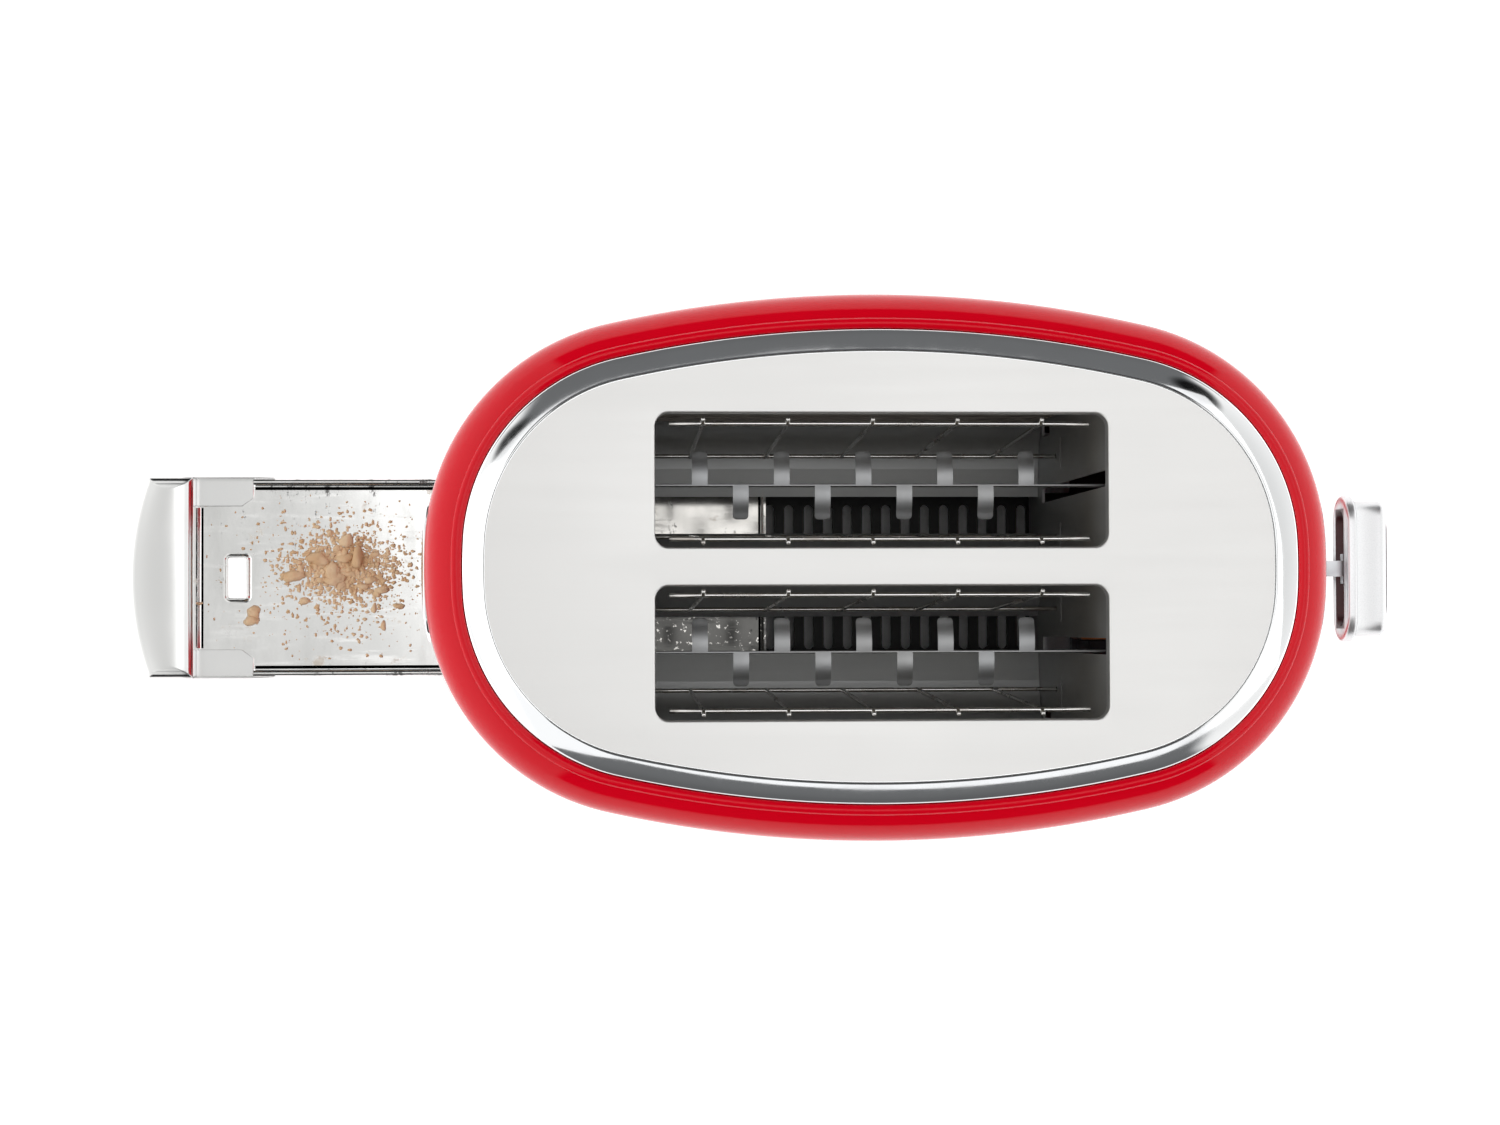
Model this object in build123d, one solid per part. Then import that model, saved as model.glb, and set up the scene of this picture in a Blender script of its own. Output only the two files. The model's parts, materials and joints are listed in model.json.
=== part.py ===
from build123d import *
import os
from math import acos, asin, atan2, cos, degrees, hypot, radians, sin, sqrt

# Two-slot pop-up toaster.  Millimetres, +Z up.  The origin is on the table under the middle of
# the body, +X points to the lever end and -X to the end where the crumb tray pulls out.
# Everything is drawn at rest: lever and bread racks up, crumb tray drawn out by TRAY_DRAWN.

# ---- rim outline seen from above: each quarter is an end arc, a corner arc and a side arc
RIM_HALF_LENGTH = 123.4
RIM_HALF_WIDTH = 69.9
END_RADIUS = RIM_HALF_LENGTH * 150.0 / 123.4
SIDE_RADIUS = RIM_HALF_LENGTH**2 / RIM_HALF_WIDTH * 355.0 * 69.9 / 123.4**2
CORNER_RADIUS = RIM_HALF_WIDTH * 57.8 / 69.9

# ---- heights
PLATE_Z = 193.0            # top face of the slotted plate
CHAMBER_FLOOR_Z = 48.0     # lower lips of the reflectors
SKIN_BOTTOM_Z = 14.0
TRAY_FLOOR_Z = 13.0        # underside of the crumb pan
BASE_FLOOR_Z = 5.0         # underside of the base pan
BASE_FLOOR_WALL = 2.2
BASE_FOOT_Z = 3.5          # lowest edge of the base skirt

# ---- pressed skin, offsets measured outwards from the rim outline
SKIN_WALL = 1.2
SHOULDER_OFFSET = 11.6
SHOULDER_DROP = 12.1       # below the plate
SHOULDER_RADIUS = 16.6
BULGE_OFFSET = 13.8
BULGE_Z = 95.0
FOOT_OFFSET = 11.0
RIDGE_OFFSET = 1.9
RIDGE_END_OFFSET = 3.1
RIDGE_HEIGHT = 3.3         # above the plate
RIDGE_INNER_HEIGHT = 1.9
FLANGE_WIDTH = 3.0

# ---- top
PLATE_WALL = 0.8
BEZEL_WIDTH = 6.4
BEZEL_OUTER_HEIGHT = 2.0   # above the plate
BEZEL_INNER_HEIGHT = 0.3
BEZEL_LEDGE = 2.6
BEZEL_WALL = 1.2
BEZEL_DISH = 0.1           # how far the band dips in its middle
BEZEL_GAP = 0.15
SLOT_LENGTH = 134.0
SLOT_WIDTH = 39.4
SLOT_PITCH = 50.8
SLOT_CORNER = 4.0
LIP_DEPTH = 5.0

# ---- oven chamber
SHEET = 0.8
BULKHEAD_X = 69.5          # inner face of each bulkhead
REFLECTOR_Y = 54.5
REFLECTOR_BEND = 18.0
CHUTE_OUTER_Y = 27.0
CHUTE_INNER_Y = 14.3
CRUMB_RIDGE_RISE = 14.0
BULKHEAD_FLANGE = 6.5
CARD_WALL = 0.6
CARD_Y = 51.5
CARD_HALF_LENGTH = 66.0
RIBBON_HEIGHT = 1.6
RIBBON_WALL = 0.3
RIBBON_TURNS = 12

# ---- bread guards
WIRE = 1.4
GUARD_TOP_DROP = 8.0       # below the plate
GUARD_DEPTH = 108.0        # low bar below the plate
GUARD_TOP_HALF = 17.1      # distance of the top bar from the slot's centre plane
GUARD_BOTTOM_HALF = 13.4
GUARD_STUB = 2.6           # how far the uprights reach past the top bar
GUARD_FLARE = 1.3
GUARD_PITCH = 25.2
GUARD_COUNT = 5
GUARD_SHIFT = -2.25
GUARD_BAR_END = 62.5

# ---- bread racks and lifting carriage
RACK_DROP = 31.0           # top of the rack rail below the plate
RAIL_WALL = 0.8
RAIL_HEIGHT = 6.0
FINGER_WIDTH = 4.8
FINGER_REACH = 10.4
FINGER_FALL = 2.4
FINGER_PITCH = 25.0
FINGER_SHIFT = -2.6
TRAVEL = 66.0
RACK_SLOT_WIDTH = 5.0
RACK_SLOT_SHIFT = 1.5
RACK_SLOT_BOTTOM_Z = 58.0
CARRIAGE_X = 77.0
CARRIAGE_WALL = 1.2
SHELF_DROP = 28.0          # carriage shelf below the rail's top
ROD_X = 92.0
ROD_Y = 14.0
ROD_DIAMETER = 5.0
BUSH_DIAMETER = 10.0
BUSH_FIT = 0.05            # radial
SPRING_DIAMETER = 9.0
SPRING_WIRE = 0.9

# ---- lever
ARM_WIDTH = 4.9
ARM_HEIGHT = 6.0
ARM_DROP = 20.0            # lever centre below the rail's top
KNOB_GAP = 15.0            # from the skin's shoulder plane to the knob's back
KNOB_FLANGE_LENGTH = 46.0
KNOB_FLANGE_HEIGHT = 17.5
KNOB_FLANGE_WALL = 3.4
KNOB_LENGTH = 42.4
KNOB_HEIGHT = 13.4
KNOB_DEPTH = 10.2
KNOB_HOLLOW_LENGTH = 36.0
KNOB_HOLLOW_HEIGHT = 8.6
KNOB_HOLLOW_DEPTH = 9.5

# ---- end panels
PANEL_PROUD = 1.0
PANEL_HALF_WIDTH = 22.0
PANEL_BOTTOM_Z = 22.0
PANEL_TOP_DROP = 27.0
PANEL_CORNER = 9.0
TRIM_BOTTOM_Z = 34.0
LEVER_SLOT_WIDTH = 6.4
LEVER_SLOT_SPARE = 5.0

# ---- controls
DIAL_Z = 36.0
DIAL_DIAMETER = 25.0
DIAL_HEIGHT = 11.0
DIAL_GAP = 0.8
SHAFT_DIAMETER = 6.0
SHAFT_FIT = 0.05
BUTTON_Z = 57.0
BUTTON_PITCH = 13.0
BUTTON_WIDTH = 9.6
BUTTON_HEIGHT = 7.0
BUTTON_PROUD = 3.0
BUTTON_CLEARANCE = 0.4
BUTTON_TRAVEL = 1.6
BUTTON_NAMES = ("cancel_button", "reheat_button", "defrost_button")
BOARD_SETBACK = 18.5       # board's front face behind the skin's outer face at the dial
BOARD_WALL = 1.6
BOARD_HALF_WIDTH = 32.0
BOARD_BOTTOM_Z = 10.0
BOARD_TOP_Z = 66.0
SWITCH_SIZE = 6.0
SWITCH_HEIGHT = 4.0

# ---- crumb tray
TRAY_DRAWN = 106.0         # how far the tray is drawn out at rest
TRAY_HALF_WIDTH = 34.0
TRAY_LENGTH = 200.8
TRAY_SIDE_HEIGHT = 6.0
TRAY_ROLL = 2.0
HANDLE_HALF_WIDTH = 35.3
HANDLE_DEPTH = 22.0
HANDLE_BOW = 6.5           # how far the front bulges past its corners
HANDLE_BOTTOM_Z = 7.7
HANDLE_TOP_Z = 25.0
HANDLE_STAND_OUT = 6.0     # past the base skirt when the tray is home
HANDLE_WALL = 2.4
HANDLE_ROUND = 2.2
CHEEK_LENGTH = 28.0
CHEEK_HEIGHT = 8.0
TAB_LENGTH = 20.0
TAB_WIDTH = 8.7
TAB_WALL = 1.2
TAB_CHAMFER = 4.0
TAB_GAP = 0.5
WINDOW_SETBACK = 14.3      # centre of the pan's window behind the handle
WINDOW_WIDTH = 6.6
WINDOW_LENGTH = 14.4
TRAY_CLEARANCE = 0.7
RAIL_BEARING = 0.3

# ---- base
BASE_RIM_OFFSET = 10.6
BASE_SPIGOT_HEIGHT = 8.0
BASE_SPIGOT_GAP = 0.3
BASE_RIM_WALL = 2.4
VENT_LENGTH = 13.0
VENT_WIDTH = 3.5
VENT_PITCH = 7.0
VENT_COUNT = 23
VENT_Y = 19.5
FOOT_X = 86.0
FOOT_Y = 42.0
FOOT_DIAMETER = 14.0
STEM_DIAMETER = 6.0
SCREW_DIAMETER = 3.0
SCREW_CLEARANCE = 0.15
SCREW_X_INSET = 5.0
SCREW_Y = 47.0
GROMMET_X = -101.0
GROMMET_Y = 46.5
GROMMET_BORE = 7.5
GROMMET_DIAMETER = 12.0
TERMINAL_X = -32.0
TERMINAL_GAP = 4.0          # outside the far reflector

# ---- values worked out from the sizes above
BASE_TOP_Z = BASE_FLOOR_Z + BASE_FLOOR_WALL
FLANGE_TOP_Z = PLATE_Z - PLATE_WALL
FLANGE_BOTTOM_Z = FLANGE_TOP_Z - BEZEL_WALL
RACK_Z = PLATE_Z - RACK_DROP
GUARD_BOTTOM_Z = PLATE_Z - GUARD_DEPTH
LEVER_Z = RACK_Z - ARM_DROP
SHELF_Z = RACK_Z - SHELF_DROP
CHAMBER_TOP_Z = FLANGE_BOTTOM_Z - 2.0
SLOT_YS = (-SLOT_PITCH / 2, SLOT_PITCH / 2)
SIDES = (-1, 1)


def circle_through(p, q, r):
    """Centre and radius of the circle through three points of a plane."""
    (ax, ay), (bx, by), (cx, cy) = p, q, r
    d = 2 * (ax * (by - cy) + bx * (cy - ay) + cx * (ay - by))
    a2, b2, c2 = ax**2 + ay**2, bx**2 + by**2, cx**2 + cy**2
    ux = (a2 * (by - cy) + b2 * (cy - ay) + c2 * (ay - by)) / d
    uy = (a2 * (cx - bx) + b2 * (ax - cx) + c2 * (bx - ax)) / d
    return (ux, uy), hypot(ax - ux, ay - uy)


SHOULDER_END = (SHOULDER_OFFSET, PLATE_Z - SHOULDER_DROP)
SKIN_FOOT = (FOOT_OFFSET, SKIN_BOTTOM_Z)
BULGE_CENTRE, BULGE_RADIUS = circle_through(SHOULDER_END, (BULGE_OFFSET, BULGE_Z), SKIN_FOOT)
BULGE_TURN = atan2(SHOULDER_END[1] - BULGE_CENTRE[1], SHOULDER_END[0] - BULGE_CENTRE[0])
SHOULDER_CENTRE = (SHOULDER_END[0] - SHOULDER_RADIUS * cos(BULGE_TURN),
                   SHOULDER_END[1] - SHOULDER_RADIUS * sin(BULGE_TURN))


def skin_offset(z):
    """Offset of the skin's outer face from the rim outline at a height below the shoulder."""
    return BULGE_CENTRE[0] + sqrt(BULGE_RADIUS**2 - (z - BULGE_CENTRE[1])**2)


def skin_x(z):
    """Distance of the skin's outer face from the middle, on the long axis."""
    return RIM_HALF_LENGTH + skin_offset(z)


def polar(centre, radius, angle):
    """Point of a circle at an angle in radians."""
    return (centre[0] + radius * cos(angle), centre[1] + radius * sin(angle))


def corner_centre():
    """Centre of the corner arc that is tangent to the end arc and to the side arc."""
    end = (RIM_HALF_LENGTH - END_RADIUS, 0.0)
    side = (0.0, RIM_HALF_WIDTH - SIDE_RADIUS)
    r_end, r_side = END_RADIUS - CORNER_RADIUS, SIDE_RADIUS - CORNER_RADIUS
    dx, dy = side[0] - end[0], side[1] - end[1]
    gap = hypot(dx, dy)
    along = (r_end**2 - r_side**2 + gap**2) / (2 * gap)
    across = sqrt(r_end**2 - along**2)
    return (end[0] + (dx * along - dy * across) / gap, end[1] + (dy * along + dx * across) / gap)


def outline(offset):
    """Closed wire parallel to the rim outline, starting at its +X point."""
    end_x = RIM_HALF_LENGTH - END_RADIUS
    side_y = RIM_HALF_WIDTH - SIDE_RADIUS
    cx, cy = corner_centre()
    turn_end = degrees(atan2(cy, cx - end_x))
    turn_side = degrees(atan2(cy - side_y, cx))

    def arc(x, y, radius, start, stop):
        return Edge.make_circle(radius + offset, Plane((x, y, 0)), start, stop)

    return Wire([
        arc(end_x, 0, END_RADIUS, 0, turn_end),
        arc(cx, cy, CORNER_RADIUS, turn_end, turn_side),
        arc(0, side_y, SIDE_RADIUS, turn_side, 180 - turn_side),
        arc(-cx, cy, CORNER_RADIUS, 180 - turn_side, 180 - turn_end),
        arc(-end_x, 0, END_RADIUS, 180 - turn_end, 180 + turn_end),
        arc(-cx, -cy, CORNER_RADIUS, 180 + turn_end, 180 + turn_side),
        arc(0, -side_y, SIDE_RADIUS, 180 + turn_side, 360 - turn_side),
        arc(cx, -cy, CORNER_RADIUS, 360 - turn_side, 360 - turn_end),
        arc(end_x, 0, END_RADIUS, 360 - turn_end, 360),
    ])


def at_rim(point):
    """Section point (offset, height) placed in the plane of the rim's +X point."""
    return Vector(RIM_HALF_LENGTH + point[0], 0, point[1])


def line(p, q):
    return Edge.make_line(at_rim(p), at_rim(q))


def arc_between(centre, radius, start, stop):
    """Section arc from one angle to another, in radians."""
    middle = (start + stop) / 2
    ends = (polar(centre, radius, start), polar(centre, radius, middle), polar(centre, radius, stop))
    return Edge.make_three_point_arc(*(at_rim(p) for p in ends))


def carry_round(edges):
    """Solid ring made by carrying a closed section round the rim outline."""
    return sweep(Face(Wire(edges)), path=outline(0))


def polygon_ring(points):
    """Solid ring with a straight-sided section."""
    return carry_round([line(p, q) for p, q in zip(points, points[1:] + points[:1])])


def slab(offset, z0, z1):
    """Flat slab with the outline's shape between two heights."""
    return prism_z(Face(outline(offset)), z0, z1)


def block(x0, x1, y0, y1, z0, z1):
    """Block given by its six faces."""
    return Pos((x0 + x1) / 2, (y0 + y1) / 2, (z0 + z1) / 2) * Box(x1 - x0, y1 - y0, z1 - z0)


def rod_x(x0, x1, y, z, diameter):
    """Round bar along X."""
    return Pos((x0 + x1) / 2, y, z) * Rot(0, 90, 0) * Cylinder(diameter / 2, x1 - x0)


def rod_z(x, y, z0, z1, diameter):
    """Round bar along Z."""
    return Pos(x, y, (z0 + z1) / 2) * Cylinder(diameter / 2, z1 - z0)


def wire_between(p, q, diameter):
    """Round wire between two points."""
    a, b = Vector(*p), Vector(*q)
    return extrude(Plane(a, z_dir=b - a) * Circle(diameter / 2), amount=(b - a).length)


def prism_x(shape, x0, x1):
    """Flat shape, drawn with its x along Y and its y along Z, made solid from x0 to x1."""
    plane = Plane((x0, 0, 0), x_dir=(0, 1, 0), z_dir=(1, 0, 0))
    return extrude(plane * shape, amount=x1 - x0, dir=(1, 0, 0))


def prism_z(shape, z0, z1):
    """Flat shape drawn on the table, made solid from z0 to z1."""
    return extrude(Pos(0, 0, z0) * shape, amount=z1 - z0, dir=(0, 0, 1))


# ---------------------------------------------------------------- housing

def body_shell():
    """Pressed skin: rolled ridge beside the bezel, round shoulder, gently bulged side."""
    ridge_end_turn = acos((RIDGE_END_OFFSET - SHOULDER_CENTRE[0]) / SHOULDER_RADIUS)
    ridge_end = polar(SHOULDER_CENTRE, SHOULDER_RADIUS, ridge_end_turn)
    ridge_start = (0, PLATE_Z + RIDGE_INNER_HEIGHT)
    inner_radius = SHOULDER_RADIUS - SKIN_WALL
    inner_turn = asin((FLANGE_BOTTOM_Z - SHOULDER_CENTRE[1]) / inner_radius)
    foot_turn = atan2(SKIN_FOOT[1] - BULGE_CENTRE[1], SKIN_FOOT[0] - BULGE_CENTRE[0])
    foot_in = polar(BULGE_CENTRE, BULGE_RADIUS - SKIN_WALL, foot_turn)
    ridge_top = (RIDGE_OFFSET, PLATE_Z + RIDGE_HEIGHT)
    skin = carry_round([
        line((-FLANGE_WIDTH, FLANGE_TOP_Z), (0, FLANGE_TOP_Z)),
        line((0, FLANGE_TOP_Z), ridge_start),
        Edge.make_three_point_arc(at_rim(ridge_start), at_rim(ridge_top), at_rim(ridge_end)),
        arc_between(SHOULDER_CENTRE, SHOULDER_RADIUS, ridge_end_turn, BULGE_TURN),
        arc_between(BULGE_CENTRE, BULGE_RADIUS, BULGE_TURN, foot_turn),
        line(SKIN_FOOT, foot_in),
        arc_between(BULGE_CENTRE, BULGE_RADIUS - SKIN_WALL, foot_turn, BULGE_TURN),
        arc_between(SHOULDER_CENTRE, inner_radius, BULGE_TURN, inner_turn),
        line(polar(SHOULDER_CENTRE, inner_radius, inner_turn), (-FLANGE_WIDTH, FLANGE_BOTTOM_Z)),
        line((-FLANGE_WIDTH, FLANGE_BOTTOM_Z), (-FLANGE_WIDTH, FLANGE_TOP_Z)),
    ])
    skin -= tray_mouth()
    skin -= lever_opening(LEVER_SLOT_WIDTH + 2, 2)
    skin -= control_holes()
    return skin


def tray_mouth():
    """Cut at the -X end that the crumb tray and its handle pass through."""
    half = HANDLE_HALF_WIDTH + TRAY_CLEARANCE
    end = skin_x(BULGE_Z) + 5
    return block(-end, -RIM_HALF_LENGTH + 10, -half, half, BASE_TOP_Z, HANDLE_TOP_Z + 1.5)


def lever_opening(width, spare):
    """Upright cut at the +X end that the lever arm travels in."""
    top = LEVER_Z + ARM_HEIGHT / 2 + LEVER_SLOT_SPARE + spare
    bottom = LEVER_Z - TRAVEL - ARM_HEIGHT / 2 - LEVER_SLOT_SPARE - spare
    shape = Pos(0, (top + bottom) / 2) * Rot(0, 0, 90) * SlotOverall(top - bottom, width)
    return prism_x(shape, RIM_HALF_LENGTH - 10, skin_x(BULGE_Z) + 10)


def control_holes():
    """Holes at the +X end for the dial's shaft and the three buttons."""
    x0, x1 = RIM_HALF_LENGTH, skin_x(BULGE_Z) + 10
    cut = rod_x(x0, x1, 0, DIAL_Z, SHAFT_DIAMETER + 2)
    for y in button_ys():
        hole = RectangleRounded(BUTTON_WIDTH + 2 * BUTTON_CLEARANCE,
                                BUTTON_HEIGHT + 2 * BUTTON_CLEARANCE, 1.9)
        cut += prism_x(Pos(y, BUTTON_Z) * hole, x0, x1)
    return cut


def top_bezel():
    """Polished ring: a dished band between the ridge and the plate, with a ledge under the plate."""
    step = -FLANGE_WIDTH - 0.3
    ledge = -BEZEL_WIDTH - BEZEL_LEDGE
    inner = (-BEZEL_WIDTH, PLATE_Z + BEZEL_INNER_HEIGHT)
    outer = (-BEZEL_GAP, PLATE_Z + BEZEL_OUTER_HEIGHT)
    middle = ((inner[0] + outer[0]) / 2, (inner[1] + outer[1]) / 2 - BEZEL_DISH)
    corners = [inner, (-BEZEL_WIDTH, FLANGE_TOP_Z), (ledge, FLANGE_TOP_Z), (ledge, FLANGE_BOTTOM_Z),
               (step, FLANGE_BOTTOM_Z), (step, FLANGE_TOP_Z), (-BEZEL_GAP, FLANGE_TOP_Z), outer]
    edges = [line(p, q) for p, q in zip(corners, corners[1:])]
    edges.append(Edge.make_three_point_arc(at_rim(outer), at_rim(middle), at_rim(inner)))
    return carry_round(edges)


def slot_prism(y, grow, z0, z1):
    """Upright prism with a bread slot's outline, made larger all round by grow."""
    shape = RectangleRounded(SLOT_LENGTH + 2 * grow, SLOT_WIDTH + 2 * grow, SLOT_CORNER + grow)
    return prism_z(Pos(0, y) * shape, z0, z1)


def top_plate():
    """Satin plate with two bread slots whose edges are folded down."""
    plate = slab(-BEZEL_WIDTH - BEZEL_GAP, FLANGE_TOP_Z, PLATE_Z)
    for y in SLOT_YS:
        plate += slot_prism(y, PLATE_WALL, PLATE_Z - LIP_DEPTH, PLATE_Z)
    for y in SLOT_YS:
        plate -= slot_prism(y, 0, PLATE_Z - LIP_DEPTH - 1, PLATE_Z + 1)
    rims = plate.edges().group_by(Axis.Z)[-1]
    slot_rims = [e for e in rims if abs(e.center().X) <= SLOT_LENGTH / 2 + 0.1
                 and abs(e.center().Y) <= SLOT_PITCH / 2 + SLOT_WIDTH / 2 + 0.1]
    return fillet(slot_rims, PLATE_WALL * 0.8)


def end_band(half_width, z0, z1):
    """Curved strip that lies on the skin at the +X end, PANEL_PROUD thick."""
    outer = BULGE_RADIUS + PANEL_PROUD
    start = asin((z0 - 4 - BULGE_CENTRE[1]) / outer)
    stop = asin((z1 + 4 - BULGE_CENTRE[1]) / outer)
    ring = carry_round([
        arc_between(BULGE_CENTRE, outer, start, stop),
        line(polar(BULGE_CENTRE, outer, stop), polar(BULGE_CENTRE, BULGE_RADIUS, stop)),
        arc_between(BULGE_CENTRE, BULGE_RADIUS, stop, start),
        line(polar(BULGE_CENTRE, BULGE_RADIUS, start), polar(BULGE_CENTRE, outer, start)),
    ])
    face = Pos(0, (z0 + z1) / 2) * RectangleRounded(2 * half_width, z1 - z0, PANEL_CORNER)
    return ring & prism_x(face, RIM_HALF_LENGTH - 20, skin_x(BULGE_Z) + 20)


def control_panel():
    """Polished panel at the lever end with the lever slot and the control holes."""
    panel = end_band(PANEL_HALF_WIDTH, PANEL_BOTTOM_Z, PLATE_Z - PANEL_TOP_DROP)
    return panel - lever_opening(LEVER_SLOT_WIDTH, 0) - control_holes()


def rear_trim():
    """Plain polished panel at the tray end."""
    trim = end_band(PANEL_HALF_WIDTH, TRIM_BOTTOM_Z, PLATE_Z - PANEL_TOP_DROP)
    return mirror(trim, about=Plane.YZ)


# ---------------------------------------------------------------- base

def base_pan():
    """Moulded base: skirt under the skin, spigot inside it, vented floor and board clips."""
    inner = BASE_RIM_OFFSET - BASE_RIM_WALL - 1
    spigot = FOOT_OFFSET - SKIN_WALL - BASE_SPIGOT_GAP
    top = SKIN_BOTTOM_Z + BASE_SPIGOT_HEIGHT
    pan = polygon_ring([(inner, BASE_FOOT_Z), (BASE_RIM_OFFSET, BASE_FOOT_Z),
                        (BASE_RIM_OFFSET, SKIN_BOTTOM_Z), (spigot, SKIN_BOTTOM_Z),
                        (spigot, top), (inner, top)])
    pan += slab(inner + 0.01, BASE_FLOOR_Z, BASE_TOP_Z)
    for side in SIDES:
        pan += block(board_x() - BOARD_WALL - 2, board_x() + 2, side * 26 - 3, side * 26 + 3,
                     BASE_TOP_Z - 0.5, BOARD_BOTTOM_Z + 4)
    pan -= tray_mouth()
    pan -= board_block()
    first = -VENT_PITCH * (VENT_COUNT - 1) / 2
    for side in SIDES:
        for n in range(VENT_COUNT):
            vent = Rot(0, 0, 90) * SlotOverall(VENT_LENGTH, VENT_WIDTH)
            place = Pos(first + n * VENT_PITCH, side * VENT_Y, BASE_FLOOR_Z - 1)
            pan -= extrude(place * vent, amount=BASE_FLOOR_WALL + 2)
    for x, y in foot_places():
        pan -= rod_z(x, y, BASE_FLOOR_Z - 1, BASE_TOP_Z + 1, STEM_DIAMETER)
    for x, y in screw_places():
        pan -= rod_z(x, y, BASE_FLOOR_Z - 1, BASE_TOP_Z + 1, SCREW_DIAMETER + 2 * SCREW_CLEARANCE)
    pan -= rod_z(GROMMET_X, GROMMET_Y, BASE_FLOOR_Z - 1, BASE_TOP_Z + 1, GROMMET_DIAMETER)
    pan -= rod_z(ROD_X, ROD_Y, BASE_TOP_Z - 1.2, BASE_TOP_Z + 1, ROD_DIAMETER)
    return pan


def foot_places():
    return [(sx * FOOT_X, sy * FOOT_Y) for sx in SIDES for sy in SIDES]


def screw_places():
    x = BULKHEAD_X + SHEET + SCREW_X_INSET
    return [(sx * x, sy * SCREW_Y) for sx in SIDES for sy in SIDES]


def foot_pads():
    """Four rubber feet with stems that plug into the base."""
    feet = []
    for x, y in foot_places():
        pad = rod_z(x, y, 0, BASE_FLOOR_Z, FOOT_DIAMETER)
        pad = fillet(pad.edges().group_by(Axis.Z)[0], 1.0)
        feet.append(pad + rod_z(x, y, BASE_FLOOR_Z, BASE_TOP_Z + 1.2, STEM_DIAMETER))
    return Compound(children=feet)


def base_screws():
    """Four screws that hold the bulkhead flanges to the base."""
    screws = []
    for x, y in screw_places():
        head = rod_z(x, y, BASE_FLOOR_Z - 1.8, BASE_FLOOR_Z, SCREW_DIAMETER * 2)
        head = fillet(head.edges().group_by(Axis.Z)[0], 0.7)
        shank = rod_z(x, y, BASE_FLOOR_Z, BASE_TOP_Z + SHEET + 4, SCREW_DIAMETER)
        cross = block(x - 2, x + 2, y - 0.4, y + 0.4, BASE_FLOOR_Z - 2, BASE_FLOOR_Z - 1)
        cross += block(x - 0.4, x + 0.4, y - 2, y + 2, BASE_FLOOR_Z - 2, BASE_FLOOR_Z - 1)
        screws.append(head + shank - cross)
    return Compound(children=screws)


def cord_grommet():
    """Rubber bush in the base where a mains lead would come in."""
    bush = rod_z(GROMMET_X, GROMMET_Y, BASE_FLOOR_Z - 1.5, BASE_TOP_Z + 2, GROMMET_DIAMETER)
    bush += rod_z(GROMMET_X, GROMMET_Y, BASE_TOP_Z, BASE_TOP_Z + 2, GROMMET_DIAMETER + 4)
    return bush - rod_z(GROMMET_X, GROMMET_Y, 0, BASE_TOP_Z + 5, GROMMET_BORE)


def tray_rail(side):
    """Angle rail on the base that carries one edge of the crumb tray."""
    web = HANDLE_HALF_WIDTH + TRAY_CLEARANCE
    x0 = -RIM_HALF_LENGTH + 6
    x1 = tray_inner_end() + TRAY_DRAWN + 4
    lip_top = TRAY_FLOOR_Z - RAIL_BEARING
    rail = block(x0, x1, web, web + SHEET, BASE_TOP_Z, lip_top + 7)
    rail += block(x0, x1, TRAY_HALF_WIDTH - 4, web + 0.1, lip_top - SHEET, lip_top)
    return rail if side > 0 else mirror(rail, about=Plane.XZ)


# ---------------------------------------------------------------- oven chamber

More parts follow.
